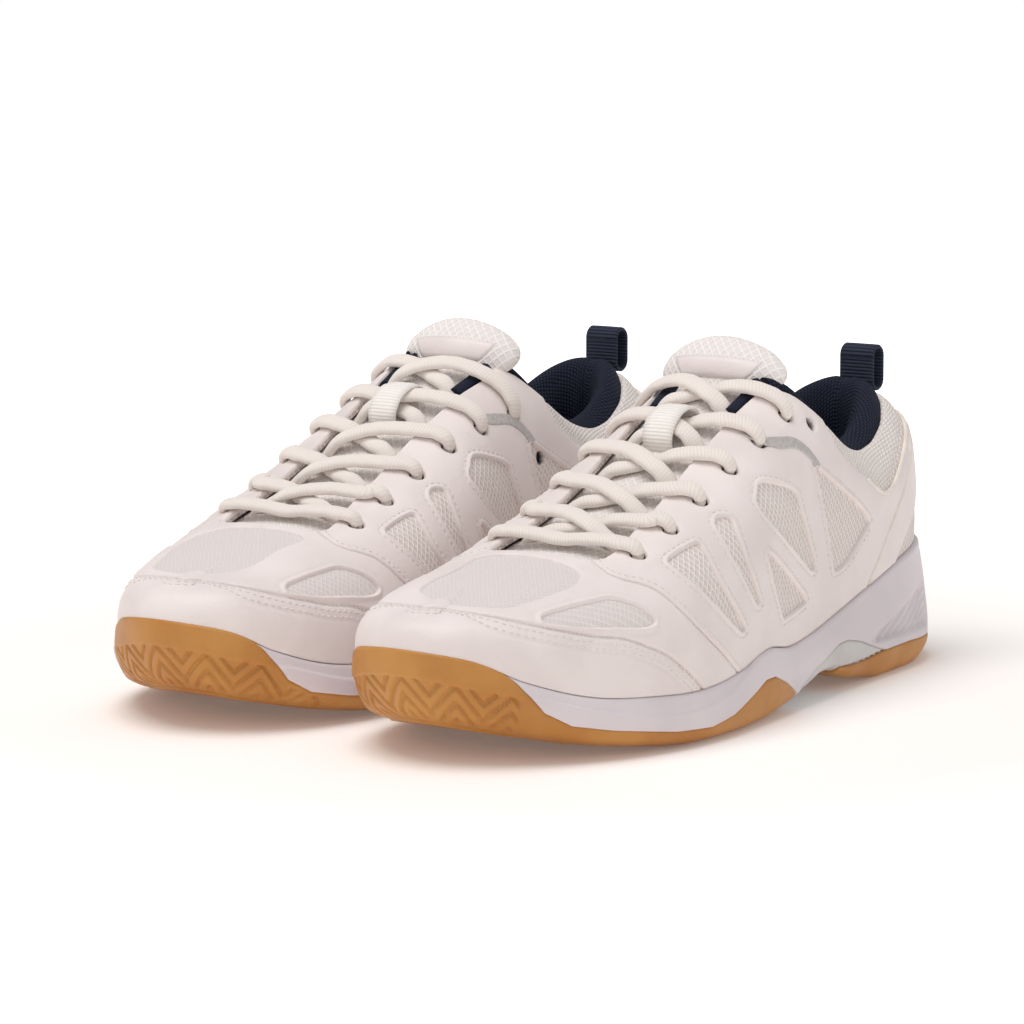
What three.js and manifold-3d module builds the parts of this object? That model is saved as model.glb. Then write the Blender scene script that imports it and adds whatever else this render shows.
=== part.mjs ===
// A pair of low-cut cheer shoes, in millimetres. +Z is up, the toes point to -Y and the wearer's left
// shoe stands at +X. One shoe is drawn in its own terms: x is outboard of its centre line, s is the
// distance forward of the back of the heel, and z is the height. The other shoe is its mirror image.
import * as THREE from "three";
import { mergeVertices } from "three/addons/utils/BufferGeometryUtils.js";
import Module from "manifold-3d";

const wasm = await Module();
wasm.setup();

// ---- Driving dimensions -------------------------------------------------------------------------
const SHOE_LENGTH = 290;
const SHOE_WIDTH = 106;
const SHOE_HEIGHT = 125;
const PAIR_SPACING = 112; // centre line to centre line

const LINING_WALL = 1.8; // mesh shell with its lining
const LAYER_GAP = 0.5; // between one layer of the upper and the next
const LINING_GAP = 0.8; // between the mesh shell and what lines it
const OVERLAY_WALL = 1.2; // synthetic leather panels
const PANEL_GAP = 0.5; // seam between neighbouring panels
const SEAT_GAP = 0.3; // between pieces that touch
const SOLE_SEAT = 0.8; // the upper's lower edge above the sole's rim
const OUTSOLE_WALL = 3.2;
const OUTSOLE_TREAD = 4.2;
const RIM_WALL = 1.4; // midsole lip inboard of the upper's outline
const FOOTBED_INSET = 5.5; // insole inboard of the upper's outline
const BOARD_THICKNESS = 1.6;
const SOCKLINER_THICKNESS = 4;
const COUNTER_WALL = 1.4;
const PADDING_THICKNESS = 6.5;
const PADDING_DEPTH = 27;
const PADDING_RISE = 4; // collar roll above the quarter's edge
const TONGUE_THICKNESS = 4;
const TONGUE_HALF_WIDTH = 10.5; // under the laces
const TONGUE_TOP_WIDTH = 52;
const TONGUE_TOP_THICKNESS = 8;
const LACE_DIAMETER = 4.2;
const EYELET_DIAMETER = LACE_DIAMETER + 2.4;
const EYELET_HALF_SPACING = SHOE_WIDTH * (28 / 106); // eyelet centre from the instep's centre line
const AGLET_LENGTH = 18;
const AGLET_DIAMETER = 3;
const STRIP_THICKNESS = 0.5;
const LOOP_WIDTH = 14;
const LOOP_HEIGHT = 12.5;
const LOOP_DEPTH = 9;
const WEBBING = 1.6;

const AROUND = 32; // steps round the shoe
const UP_WALL = 6; // steps from the sole to the instep

// Every outline is drawn for the base size and graded to the driving dimensions.
const BASE = { width: 106, length: 290, height: 125 };
const graded = (x, s, z) => [
  (x * SHOE_WIDTH) / BASE.width,
  (s * SHOE_LENGTH) / BASE.length,
  (z * SHOE_HEIGHT) / BASE.height,
];
const gradedLine = (points) => points.map(([s, z]) => graded(0, s, z).slice(1));
const gradedByLength = (points) => points.map(([s, value]) => [graded(0, s, 0)[1], value]);

// ---- The last: the surface that the upper is pulled over ----------------------------------------
// Outline at the joint of upper and sole, from the heel round the outboard side to the toe and back.
const OUTLINE = [
  [0, 5], [18, 10], [29, 28], [33.5, 55], [36.5, 85], [41.5, 127],
  [46, 160], [48.5, 194], [45.5, 221], [35.5, 248], [17, 273],
  [-6, 284], [-28, 275], [-41, 252], [-46.5, 222], [-45.5, 188],
  [-40, 156], [-33.5, 122], [-31, 85], [-31, 52], [-27, 24], [-16, 9],
].map(([x, s]) => new THREE.Vector3(...graded(x, s, 0).slice(0, 2), 0));
const outline = new THREE.CatmullRomCurve3(OUTLINE, true, "catmullrom", 0.5);

// Heights and shapes along the shoe, as [s, value].
const BOND_LINE = gradedLine([
  [5, 44.5], [25, 42.5], [55, 36.5], [85, 30], [115, 24], [135, 22], [153, 24],
  [172, 20], [197, 17.5], [222, 18.5], [245, 21], [264, 27.5], [275, 34.5], [284, 38],
]);
const INSTEP_HEIGHT = gradedLine([
  [36, 138], [85, 121], [115, 107.5], [147, 89.5], [178, 72.5], [210, 60], [240, 53], [252, 49.5],
]);
const INSTEP_X = gradedByLength([[36, 0], [100, 0.5], [135, 2], [195, 2], [225, -1], [252, -6]]);
const INSTEP_BACK = graded(0, 36, 0)[1];
const INSTEP_FRONT = graded(0, 252, 0)[1];
const BULGE = gradedByLength([[5, 0.03], [60, 0.04], [150, 0.05], [200, 0.045], [245, 0.02]]);
const RISE = gradedByLength([
  [5, 0.46], [60, 0.54], [115, 0.58], [160, 0.62], [198, 0.65], [222, 0.7], [245, 0.75], [285, 0.8],
]);
const SHOULDER = gradedByLength([
  [5, 0.62], [30, 0.74], [60, 0.92], [85, 1], [130, 1], [153, 0.95],
  [175, 0.9], [198, 0.85], [222, 0.8], [245, 0.75], [285, 0.7],
]);
const HEEL_TOP = 95; // the heel panel's upper edge
const COLLAR_LINE = gradedLine([
  [0, HEEL_TOP], [8, HEEL_TOP], [16, 92.5], [26, 86.5], [38, 78.5], [51, 75], [64, 77.5],
  [79, 85.5], [92, 95.5], [104, 102.5], [114, 105],
]);
const THROAT_START = graded(0, 103, 0)[1];
const THROAT_HALF_WIDTH = gradedByLength([
  [100, 15], [114, 18.5], [130, 17.5], [153, 17], [165, 17.2], [180, 18.2], [195, 19.5],
  [206, 21.5], [213, 19.5], [217, 0],
]);
const THROAT_END = graded(0, 217, 0)[1];

// A smooth curve through knots of [position, value], held level beyond its ends.
function along(knots, position) {
  const last = knots.length - 1;
  const at = THREE.MathUtils.clamp(position, knots[0][0], knots[last][0]);
  const next = knots.findIndex(([p], i) => i > 0 && at <= p);
  const slope = (i) => {
    const [before, after] = [knots[Math.max(i - 1, 0)], knots[Math.min(i + 1, last)]];
    return (after[1] - before[1]) / (after[0] - before[0]);
  };
  const [p0, v0] = knots[next - 1];
  const [p1, v1] = knots[next];
  const t = (at - p0) / (p1 - p0);
  const bend = (p1 - p0) * (t * (1 - t) ** 2 * slope(next - 1) - t * t * (1 - t) * slope(next));
  return v0 * (1 - t) ** 2 * (1 + 2 * t) + v1 * t * t * (3 - 2 * t) + bend;
}

// u runs once round the shoe, 0 at the heel and 0.5 at the toe; it is outboard below 0.5.
const wrapped = (u) => ((u % 1) + 1) % 1;
const outlineAt = (u) => outline.getPoint(wrapped(u));

function instepAt(u) {
  const s = (outlineAt(u).y + outlineAt(1 - u).y) / 2;
  const [heel, toe] = [OUTLINE[0].y, OUTLINE[OUTLINE.length / 2].y];
  const s2 = THREE.MathUtils.mapLinear(s, heel, toe, INSTEP_BACK, INSTEP_FRONT);
  return new THREE.Vector3(along(INSTEP_X, s2), s2, along(INSTEP_HEIGHT, s2));
}

const instepSlope = (s) => (along(INSTEP_HEIGHT, s + 1) - along(INSTEP_HEIGHT, s - 1)) / 2;
const instepNormal = (s) => new THREE.Vector3(0, -instepSlope(s), 1).normalize();

// The last's surface: h runs from 0 at the sole to 1 at the instep's ridge.
function lastSurface(u, h) {
  const foot = outlineAt(u);
  foot.z = along(BOND_LINE, foot.y);
  const ridge = instepAt(u);
  const out = new THREE.Vector3(foot.x - ridge.x, foot.y - ridge.y, 0);
  const wall = foot.clone().addScaledVector(out, along(BULGE, foot.y));
  wall.z += along(RISE, foot.y) * (ridge.z - foot.z);
  const shoulder = ridge.clone().addScaledVector(out, along(SHOULDER, foot.y));
  shoulder.z += instepSlope(ridge.y) * (shoulder.y - ridge.y);
  return new THREE.CubicBezierCurve3(foot, wall, shoulder, ridge).getPoint(h);
}

// The same surface moved outwards by depth.
function skin(u, h, depth) {
  const at = lastSurface(u, h);
  if (depth === 0) return at;
  if (h === 1) return at.addScaledVector(instepNormal(at.y), depth);
  const step = 1e-3;
  const forward = lastSurface(u + step, h).sub(lastSurface(u - step, h));
  const upward = lastSurface(u, h + step).sub(lastSurface(u, h - step));
  return at.addScaledVector(forward.cross(upward).normalize(), depth);
}

// The lowest h at which a point of the surface at u meets the test, or 1 if none does.
function edgeWhere(u, test) {
  if (!test(lastSurface(u, 1))) return 1;
  let [below, above] = [0, 1];
  for (let i = 0; i < 30; i++) {
    const middle = (below + above) / 2;
    if (test(lastSurface(u, middle))) above = middle;
    else below = middle;
  }
  return above;
}
const heightAt = (line) => (u) => edgeWhere(u, (p) => p.z > along(line, p.y));
const soleSeam = (u) => edgeWhere(u, (p) => p.z > along(BOND_LINE, outlineAt(u).y) + SOLE_SEAT);

// Where a point at share h of the wall lies s ahead of the heel, on the outboard or inboard side.
function roundTo(s, side, h = 0) {
  let [back, front] = [0, 0.5];
  for (let i = 0; i < 30; i++) {
    const middle = (back + front) / 2;
    if (lastSurface(side > 0 ? middle : 1 - middle, h).y < s) back = middle;
    else front = middle;
  }
  return side > 0 ? front : 1 - front;
}

// ---- Solids -------------------------------------------------------------------------------------
function solidOf(geometry) {
  const bare = geometry.clone();
  bare.deleteAttribute("normal");
  bare.deleteAttribute("uv");
  const merged = mergeVertices(bare, 1e-3);
  const vertProperties = merged.attributes.position.array;
  return new wasm.Manifold(
    new wasm.Mesh({ numProp: 3, vertProperties, triVerts: new Uint32Array(merged.index.array) }),
  );
}

function geometryOf(solid) {
  const { vertProperties, triVerts } = solid.getMesh();
  return new THREE.BufferGeometry()
    .setAttribute("position", new THREE.BufferAttribute(vertProperties, 3))
    .setIndex(new THREE.BufferAttribute(triVerts, 1));
}

// A closed solid from quads of four points each, anticlockwise from outside with x, s, z right-handed.
function solidFromQuads(quads) {
  const position = [];
  const push = (...points) => points.forEach((p) => position.push(p.x, p.y, p.z));
  for (const [a, b, c, d] of quads) {
    if (a.distanceToSquared(b) > 1e-8 && b.distanceToSquared(c) > 1e-8) push(a, b, c);
    if (a.distanceToSquared(d) > 1e-8 && d.distanceToSquared(c) > 1e-8) push(a, c, d);
  }
  const geometry = new THREE.BufferGeometry().setAttribute(
    "position",
    new THREE.BufferAttribute(new Float32Array(position), 3),
  );
  return solidOf(geometry);
}

// Rings of equally many points, skinned from the first to the last and closed across both ends.
function loft(rings) {
  const count = rings[0].length;
  const quads = [];
  for (let k = 0; k + 1 < rings.length; k++)
    for (let i = 0; i < count; i++) {
      const j = (i + 1) % count;
      quads.push([rings[k][i], rings[k][j], rings[k + 1][j], rings[k + 1][i]]);
    }
  const cap = (ring, flip) => {
    for (let i = 0; i < count / 2; i++) {
      const [here, next] = [ring[i], ring[i + 1]];
      const [across, acrossNext] = [ring[(count - i) % count], ring[count - i - 1]];
      quads.push(flip ? [next, here, across, acrossNext] : [here, next, acrossNext, across]);
    }
  };
  cap(rings[0], true);
  cap(rings.at(-1), false);
  return solidFromQuads(quads);
}

const uStep = 1 / AROUND;

// A panel of the upper between two lines round the wall and two depths. Where its top line reaches
// the ridge, its two sides meet there.
function panel({ from, to, low = soleSeam, high, rows = UP_WALL, depths }) {
  const full = to - from >= 1;
  const columns = [from];
  for (let k = Math.ceil(from / uStep + 0.2); (k + 0.2) * uStep < to; k++) columns.push(k * uStep);
  if (!full) columns.push(to);
  const [inner, outer] = depths.map((depth) =>
    columns.map((u) => {
      const [bottom, top] = [low(u), high(u)];
      const share = (j) => (j === rows ? top : bottom + ((top - bottom) * j) / rows);
      return Array.from({ length: rows + 1 }, (_, j) => skin(wrapped(u), share(j), depth));
    }),
  );
  const onRidge = columns.map((u) => high(u) === 1);
  const quads = [];
  const spans = full ? columns.length : columns.length - 1;
  for (let i = 0; i < spans; i++) {
    const j = (i + 1) % columns.length;
    for (let k = 0; k < rows; k++) {
      quads.push([outer[i][k], outer[j][k], outer[j][k + 1], outer[i][k + 1]]);
      quads.push([inner[i][k], inner[i][k + 1], inner[j][k + 1], inner[j][k]]);
    }
    quads.push([outer[j][0], outer[i][0], inner[i][0], inner[j][0]]);
    if (!(onRidge[i] && onRidge[j]))
      quads.push([outer[i][rows], outer[j][rows], inner[j][rows], inner[i][rows]]);
  }
  const [last, first] = [columns.length - 1, 0];
  for (let k = 0; k < rows && !full; k++) {
    quads.push([outer[first][k], outer[first][k + 1], inner[first][k + 1], inner[first][k]]);
    quads.push([outer[last][k + 1], outer[last][k], inner[last][k], inner[last][k + 1]]);
  }
  return solidFromQuads(quads);
}

// A prism across the shoe, from an outline of [s, z].
function sidePrism(points) {
  const shape = new THREE.Shape(points.map(([s, z]) => new THREE.Vector2(s, z)));
  const geometry = new THREE.ExtrudeGeometry(shape, { depth: 2 * SHOE_WIDTH, bevelEnabled: false });
  geometry.translate(0, 0, -SHOE_WIDTH);
  geometry.applyMatrix4(new THREE.Matrix4().set(0, 0, 1, 0, 1, 0, 0, 0, 0, 1, 0, 0, 0, 0, 0, 1));
  return solidOf(geometry);
}

// The same prism through one side of the shoe only.
const sideWindow = (points, side) => sidePrism(points).translate([side * SHOE_WIDTH, 0, 0]);

// ---- The upper ----------------------------------------------------------------------------------
function inOpening(p) {
  if (p.y < THROAT_START) return p.z > along(COLLAR_LINE, p.y);
  const reach = Math.abs(p.x - along(INSTEP_X, p.y));
  return p.y < THROAT_END && (reach < along(THROAT_HALF_WIDTH, p.y) || p.z > along(COLLAR_LINE, p.y));
}
const openingEdge = (u) => edgeWhere(u, inOpening);

// Seams in side view, as [s, z]: the piping in front of the heel panel, the lower edge of the mesh
// below the collar, the quarter's front edge and the toe cap's seam.
const PIPING = gradedLine([
  [16, 115], [27, 78], [38, 64.5], [46, 57], [55, 49], [62, 41.5], [72, 31.5], [80, 10],
]);
const COLLAR_MESH = gradedLine([
  [36, 73], [43.5, 68], [50, 65], [56, 64.7], [62, 66.7], [71, 71.8], [81, 77], [89, 83],
  [92.5, 89], [93, 145],
]);
const FRONT_EDGE = gradedLine([
  [170, 10], [176, 19.9], [185, 26.9], [194, 33], [201, 38.5], [206, 43.7], [210, 47.8],
  [213, 52.5], [216, 62], [219, 90],
]);
const TOE_SEAM = gradedLine([
  [197, 14], [202, 21], [209, 26.2], [216, 31], [223, 34.2], [232, 37.4], [241, 38.8],
  [251, 41.5], [260, 44], [270, 46.5],
]);
const STRIP = gradedLine([
  [106.5, 80.5], [109, 84], [113, 87.5], [117.5, 89.6], [125, 89.8], [125, 86.5], [120, 86.2],
  [116, 85], [111.5, 81.7], [109.5, 79.5],
]);
const SHOULDER_SHARE = 0.8; // where the throat's seams are met when walking round the shoe
const overlay = [LINING_WALL + LAYER_GAP, LINING_WALL + LAYER_GAP + OVERLAY_WALL];
const lining = (wall) => [-LINING_GAP - wall, -LINING_GAP];
const shifted = (line, ds, dz) => line.map(([s, z]) => [s + ds, z + dz]);
const station = (s) => graded(0, s, 0)[1];

// The whole length round the toe or the heel between the same station on both sides.
const onStep = (u) => Math.round(u * AROUND) / AROUND;
const bothSides = (s, h) => [1, -1].map((side) => onStep(roundTo(station(s), side, h)));
function roundToe(s, h) {
  const [from, to] = bothSides(s, h);
  return { from, to };
}
function roundHeel(s, h) {
  const [to, before] = bothSides(s, h);
  return { from: before - 1, to };
}

// A layer of the whole upper, with the same facets whatever its depth, and the part of it within an
// outline in side view.
const layer = (depths) => panel({ from: 0, to: 1, high: openingEdge, depths });
const layerWithin = (depths, line, side) =>
  layer(depths).intersect(side ? sideWindow(line, side) : sidePrism(line));

// The point of the last at a distance from the instep's centre line, as [u, h].
function locate(offset, s) {
  let [u, h] = [0, SHOULDER_SHARE];
  for (let i = 0; i < 8; i++) {
    u = roundTo(s, offset, h);
    h = edgeWhere(u, (p) => Math.abs(p.x - along(INSTEP_X, p.y)) < Math.abs(offset));
  }
  return [u, h];
}
function onInstep(offset, s, depth) {
  if (Math.abs(offset) > 0.5) return skin(...locate(offset, s), depth);
  const ridge = new THREE.Vector3(along(INSTEP_X, s), s, along(INSTEP_HEIGHT, s));
  return ridge.addScaledVector(instepNormal(s), depth);
}

// ---- Eyelets ------------------------------------------------------------------------------------
const EYELET_ROWS = 6;
const EYELET_PITCH = 18;
const FIRST_EYELET = station(204);
const SPARE_EYELET = [31.5, station(103)]; // the unlaced hole by the ankle, as offset and s
const eyeletAt = (row) => FIRST_EYELET - row * EYELET_PITCH;

const EYELET_SIDES = 6;
const DRILL_REACH = [-5, 8]; // from below the lining to above the overlay

function eyeletHoles(side) {
  const places = Array.from({ length: EYELET_ROWS }, (_, row) => [EYELET_HALF_SPACING, eyeletAt(row)]);
  return [...places, SPARE_EYELET].map(([offset, s]) => {
    const [inside, outside] = DRILL_REACH.map((depth) => onInstep(side * offset, s, depth));
    const [radius, length] = [EYELET_DIAMETER / 2, inside.distanceTo(outside)];
    const drill = new THREE.CylinderGeometry(radius, radius, length, EYELET_SIDES);
    const up = new THREE.Vector3(0, 1, 0);
    const direction = outside.clone().sub(inside).normalize();
    drill.applyQuaternion(new THREE.Quaternion().setFromUnitVectors(up, direction));
    return solidOf(drill.translate(...inside.lerp(outside, 0.5)));
  });
}

const drilled = (solid, sides) =>
  sides.flatMap(eyeletHoles).reduce((left, hole) => left.subtract(hole), solid);
const meshUpper = () => drilled(layer([0, LINING_WALL]), [1, -1]);

const BEYOND = 40; // how far an outline that leaves the shoe runs on
const [below, ahead, above] = [-BEYOND, SHOE_LENGTH + BEYOND, SHOE_HEIGHT + BEYOND];

function toeCap() {
  const [back, front] = [TOE_SEAM[0], TOE_SEAM.at(-1)];
  const line = [...TOE_SEAM, [ahead, front[1]], [ahead, below], [back[0], below]];
  return layerWithin(overlay, line);
}

function vampOverlay() {
  const front = shifted(FRONT_EDGE, PANEL_GAP, 0);
  const seam = shifted(TOE_SEAM, 0, PANEL_GAP);
  const line = [...front, [ahead, front.at(-1)[1]], [ahead, seam.at(-1)[1]], ...seam.toReversed()];
  return layerWithin(overlay, line);
}

function quarter(side) {
  const piping = PIPING.slice(1).toReversed();
  const line = [...piping, ...COLLAR_MESH, [FRONT_EDGE.at(-1)[0], above], ...FRONT_EDGE.toReversed()];
  return drilled(layerWithin(overlay, line, side), [side]);
}

function heelOverlay() {
  const seam = shifted(PIPING, -PANEL_GAP, -PANEL_GAP);
  const line = [...seam, [seam.at(-1)[0], below], [below, below], [below, seam[0][1]]];
  return layerWithin(overlay, line);
}

const COUNTER_FRONT = 48;
function heelCounter() {
  const high = heightAt(shifted(COLLAR_LINE, 0, -PADDING_DEPTH - PANEL_GAP));
  return panel({ ...roundHeel(COUNTER_FRONT), high, rows: 3, depths: lining(COUNTER_WALL) });
}

const PUFF_BACK = 240;
const PUFF_BELOW_SEAM = 2;
function toePuff() {
  const high = heightAt(shifted(TOE_SEAM, 0, -PUFF_BELOW_SEAM));
  return panel({ ...roundToe(PUFF_BACK), high, rows: 3, depths: lining(COUNTER_WALL) });
}

const PADDING_FRONT = 92;
const PADDING_SHARE = 0.7; // how far up the wall its front ends are met
function collarPadding() {
  return panel({
    ...roundHeel(PADDING_FRONT, PADDING_SHARE),
    low: heightAt(shifted(COLLAR_LINE, 0, -PADDING_DEPTH)),
    high: heightAt(shifted(COLLAR_LINE, 0, PADDING_RISE)),
    rows: 4,
    depths: lining(PADDING_THICKNESS),
  });
}

function reflectiveStrip(side) {
  const base = overlay[1] + SEAT_GAP;
  return layerWithin([base, base + STRIP_THICKNESS], STRIP, side);
}

const edgeOffset = (s) => along(THROAT_HALF_WIDTH, s);
const BINDING_WIDTH = 4;
const BINDING_WALL = 1.2;
const BINDING_STATIONS = [110.5, 114, 118, 122].map(station);

function throatBinding(side) {
  const rings = BINDING_STATIONS.map((s) => {
    const outer = side * (edgeOffset(s) - SEAT_GAP);
    const inner = outer - side * BINDING_WIDTH;
    const ring = [
      onInstep(inner, s, BINDING_WALL), onInstep(outer, s, BINDING_WALL),
      onInstep(outer, s, 0), onInstep(inner, s, 0),
    ];
    return side > 0 ? ring : [ring[1], ring[0], ring[3], ring[2]];
  });
  return loft(rings);
}

// ---- The tongue ---------------------------------------------------------------------------------
const TONGUE_DEPTH = 1; // its face below the last's surface
const TONGUE_SHARES = [-1, -0.5, 0, 0.5, 1];
const TONGUE_HINGE = graded(0, 112.5, 106);
const TONGUE_TIP = graded(0, 102.5, 122);
const TONGUE_TAPER = 0.6; // share of the thickness lost at its sides
const TONGUE_CURL = 5; // how far the padded end's sides lie behind its middle

function tongueBody() {
  const rings = [115, 130, 142, 154, 166, 178, 190, 202, 214, 226].map(station).map((s) => {
    const at = (depth) => (share) => onInstep(share * TONGUE_HALF_WIDTH, s, depth);
    return [
      ...TONGUE_SHARES.map(at(-TONGUE_DEPTH)),
      ...TONGUE_SHARES.toReversed().map(at(-TONGUE_DEPTH - TONGUE_THICKNESS)),
    ];
  });
  return loft(rings);
}

// The padded end above the laces, drawn from its upper edge down to the hinge line.
function tongueTop() {
  const upper = new THREE.Vector2(...TONGUE_TIP.slice(1));
  const lower = new THREE.Vector2(...TONGUE_HINGE.slice(1));
  const down = lower.clone().sub(upper).normalize();
  const forward = new THREE.Vector2(-down.y, down.x);
  // Each ring's share of the way down, of the width and of the thickness.
  const profile = [
    [0, 0.45, 0.35], [0.1, 0.8, 0.75], [0.35, 1, 1], [0.6, 0.7, 1], [0.8, 0.38, 0.7], [1, 0.28, 0.3],
  ];
  const rings = profile.map(([share, width, thickness]) => {
    const centre = upper.clone().lerp(lower, share);
    const halfWidth = (width * TONGUE_TOP_WIDTH) / 2;
    const half = (thickness * TONGUE_TOP_THICKNESS) / 2;
    const at = (lift) => (x) => {
      const curl = TONGUE_CURL * width * x * x;
      const thin = lift * (1 - TONGUE_TAPER * x * x);
      const p = centre.clone().addScaledVector(forward, thin - curl);
      return new THREE.Vector3(x * halfWidth, p.x, p.y);
    };
    return [...TONGUE_SHARES.map(at(half)), ...TONGUE_SHARES.toReversed().map(at(-half))];
  });
  return loft(rings);
}

// ---- Laces --------------------------------------------------------------------------------------
const LACE_RADIUS = LACE_DIAMETER / 2;
const LACE_SIDES = 5;
const AGLET_SIDES = 8;
const OVER_FACING = overlay[1] + LACE_RADIUS + 0.5;
const UNDER_FACING = -LACE_RADIUS - 1.8;
const LOW_CROSSING = LACE_RADIUS + 0.1;
const HIGH_CROSSING = LOW_CROSSING + LACE_DIAMETER + SEAT_GAP + 0.2;
const TUCKED_OFFSET = EYELET_HALF_SPACING + 5.5;
const TUCKED_LENGTH = 46;

// Down through an eyelet from above, ending below the facing on the way back to the throat.
function throughEyelet(side, row) {
  const at = (offset, depth, forward = 0) =>
    onInstep(side * (EYELET_HALF_SPACING - offset), eyeletAt(row) + forward, depth);
  return [
    at(4.8, OVER_FACING + 0.2, 0.6), at(1.6, OVER_FACING), at(0.1, OVER_FACING - 1.9),
    at(0, LINING_WALL), at(0.1, -1), at(0.7, UNDER_FACING + 0.3),
  ];
}

// From below the facing on one side, across the throat, to the next row's eyelet on the other side.
function crossing(side, row, high) {
  const s = eyeletAt(row);
  const under = (offset, back, depth) => onInstep(side * offset, s - back, depth);
  const over = (offset, forward, depth) => onInstep(-side * offset, eyeletAt(row + 1) + forward, depth);
  const edge = edgeOffset(s);
  const middle = (s + eyeletAt(row + 1)) / 2;
  const depth = high ? HIGH_CROSSING : LOW_CROSSING;
  return [
    under(EYELET_HALF_SPACING - 5, 0.8, UNDER_FACING),
    under(edge - 0.5, 2, UNDER_FACING),
    under(edge - LACE_RADIUS - 1.5, 3.6, -0.8),
    under(9.6, 5.4, high ? 3.4 : LOW_CROSSING),
    under(5.4, 6.6, high ? HIGH_CROSSING - 0.6 : LOW_CROSSING),
    onInstep(0, middle, depth),
    over(5.4, 6.6, high ? HIGH_CROSSING - 0.2 : LOW_CROSSING),
    over(10.4, 5.2, high ? HIGH_CROSSING - 0.4 : 4.4),
    over(edgeOffset(s) + 0.5, 3, OVER_FACING),
    ...throughEyelet(-side, row + 1),
  ];
}

// Half of the lace, from the middle of the first bar to its end inside the shoe.
function laceHalf(first) {
  const s = eyeletAt(0);
  const points = [
    onInstep(first * 9, s + 1.5, LOW_CROSSING + 2.2),
    onInstep(first * (edgeOffset(s) - 4), s + 1.5, OVER_FACING),
    onInstep(first * (edgeOffset(s) + 1.5), s + 1, OVER_FACING + 0.3),
    ...throughEyelet(first, 0),
  ];
  let side = first;
  for (let row = 0; row + 1 < EYELET_ROWS; row++) {
    points.push(...crossing(side, row, (row % 2 === 0) === (first > 0)));
    side = -side;
  }
  const top = eyeletAt(EYELET_ROWS - 1);
  const tucked = (share) => onInstep(side * TUCKED_OFFSET, top + share * TUCKED_LENGTH, UNDER_FACING);
  points.push(onInstep(side * (EYELET_HALF_SPACING + 2.6), top + 2.4, UNDER_FACING));
  points.push(...[0.2, 0.45, 0.7, 1].map(tucked));
  return points;
}

// A curve whose steps follow its points, which lie closest together where the lace bends most.
class LaceRoute extends THREE.CatmullRomCurve3 {
  getUtoTmapping(share) {
    return share;
  }
}
const polygon = (radius, sides) =>
  new THREE.Shape(
    Array.from({ length: sides }, (_, i) => {
      const turn = (2 * Math.PI * i) / sides;
      return new THREE.Vector2(radius * Math.cos(turn), radius * Math.sin(turn));
    }),
  );
function tube(extrudePath, radius, sides, steps) {
  const options = { extrudePath, steps, bevelEnabled: false };
  return solidOf(new THREE.ExtrudeGeometry(polygon(radius, sides), options));
}

function laces() {
  const [first, second] = [laceHalf(1), laceHalf(-1)];
  const middle = onInstep(0, eyeletAt(0) + 1.5, LOW_CROSSING + 1);
  const points = [...second.toReversed(), middle, ...first];
  const route = new LaceRoute(points, false, "centripetal");
  const aglet = (half) => {
    const direction = half.at(-1).clone().sub(half.at(-2)).normalize();
    const start = half.at(-1).clone().addScaledVector(direction, SEAT_GAP);
    const end = start.clone().addScaledVector(direction, AGLET_LENGTH);
    return tube(new THREE.LineCurve3(start, end), AGLET_DIAMETER / 2, AGLET_SIDES, 1);
  };
  const lace = tube(route, LACE_RADIUS, LACE_SIDES, points.length - 1);
  return { lace, aglets: [first, second].map(aglet) };
}

// The webbing keeper stitched to the tongue over one crossing of the laces.
const KEEPER_ROW = 3;
const KEEPER_HALF_WIDTH = 4.6;
const KEEPER_REACH = 9.6;
function laceKeeper() {
  const centre = eyeletAt(KEEPER_ROW + 0.5);
  const rise = HIGH_CROSSING + LACE_RADIUS + 0.5 + TONGUE_DEPTH;
  const rings = Array.from({ length: 9 }, (_, i) => {
    const turn = (Math.PI * i) / 8;
    const at = (x, wall) => {
      const depth = 2 * SEAT_GAP - TONGUE_DEPTH + (rise + wall) * Math.sin(turn);
      return onInstep(x, centre - (KEEPER_REACH + wall) * Math.cos(turn), depth);
    };
    const half = KEEPER_HALF_WIDTH;
    return [at(-half, WEBBING), at(half, WEBBING), at(half, 0), at(-half, 0)];
  });
  return loft(rings);
}

// ---- The sole -----------------------------------------------------------------------------------
const SOLE_BOTTOM = gradedLine([
  [-8, 6], [5, 3.2], [18, 0.8], [28, 0], [62, 0], [86, 3.5], [100, 8], [112, 8], [124, 5],
  [139, 2.5], [155, 0.5], [170, 0], [205, 0], [215, 0.8], [230, 2.5],
  [247, 5.2], [263, 9], [278, 13.5], [292, 19],
]);
const FOOTBED = gradedLine([
  [0, 19], [60, 18], [100, 16.5], [150, 10.5], [200, 8], [230, 10.5], [260, 17], [290, 27],
]);
// How far the side wall stands out of the outline at each share of its height, by [s, offset].
const WALL_SHARES = [0, 0.15, 0.6, 1];
const WALL_FLARE = [
  [[0, 4.5], [80, 3], [180, 2], [240, -2], [284, -8]],
  [[0, 8], [80, 5.5], [180, 5.5], [240, 3], [284, -2]],
  [[0, 6.2], [80, 5.8], [180, 6], [240, 5], [284, 3]],
  [[0, 3.6], [80, 3.6], [180, 3.8], [240, 3.8], [284, 3.6]],
].map(gradedByLength);

function straightAlong(knots, position) {
  const at = THREE.MathUtils.clamp(position, knots[0][0], knots.at(-1)[0]);
  const next = Math.max(1, knots.findIndex(([p]) => at <= p));
  const [[p0, v0], [p1, v1]] = [knots[next - 1], knots[next]];
  return THREE.MathUtils.mapLinear(at, p0, p1, v0, v1);
}

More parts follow.
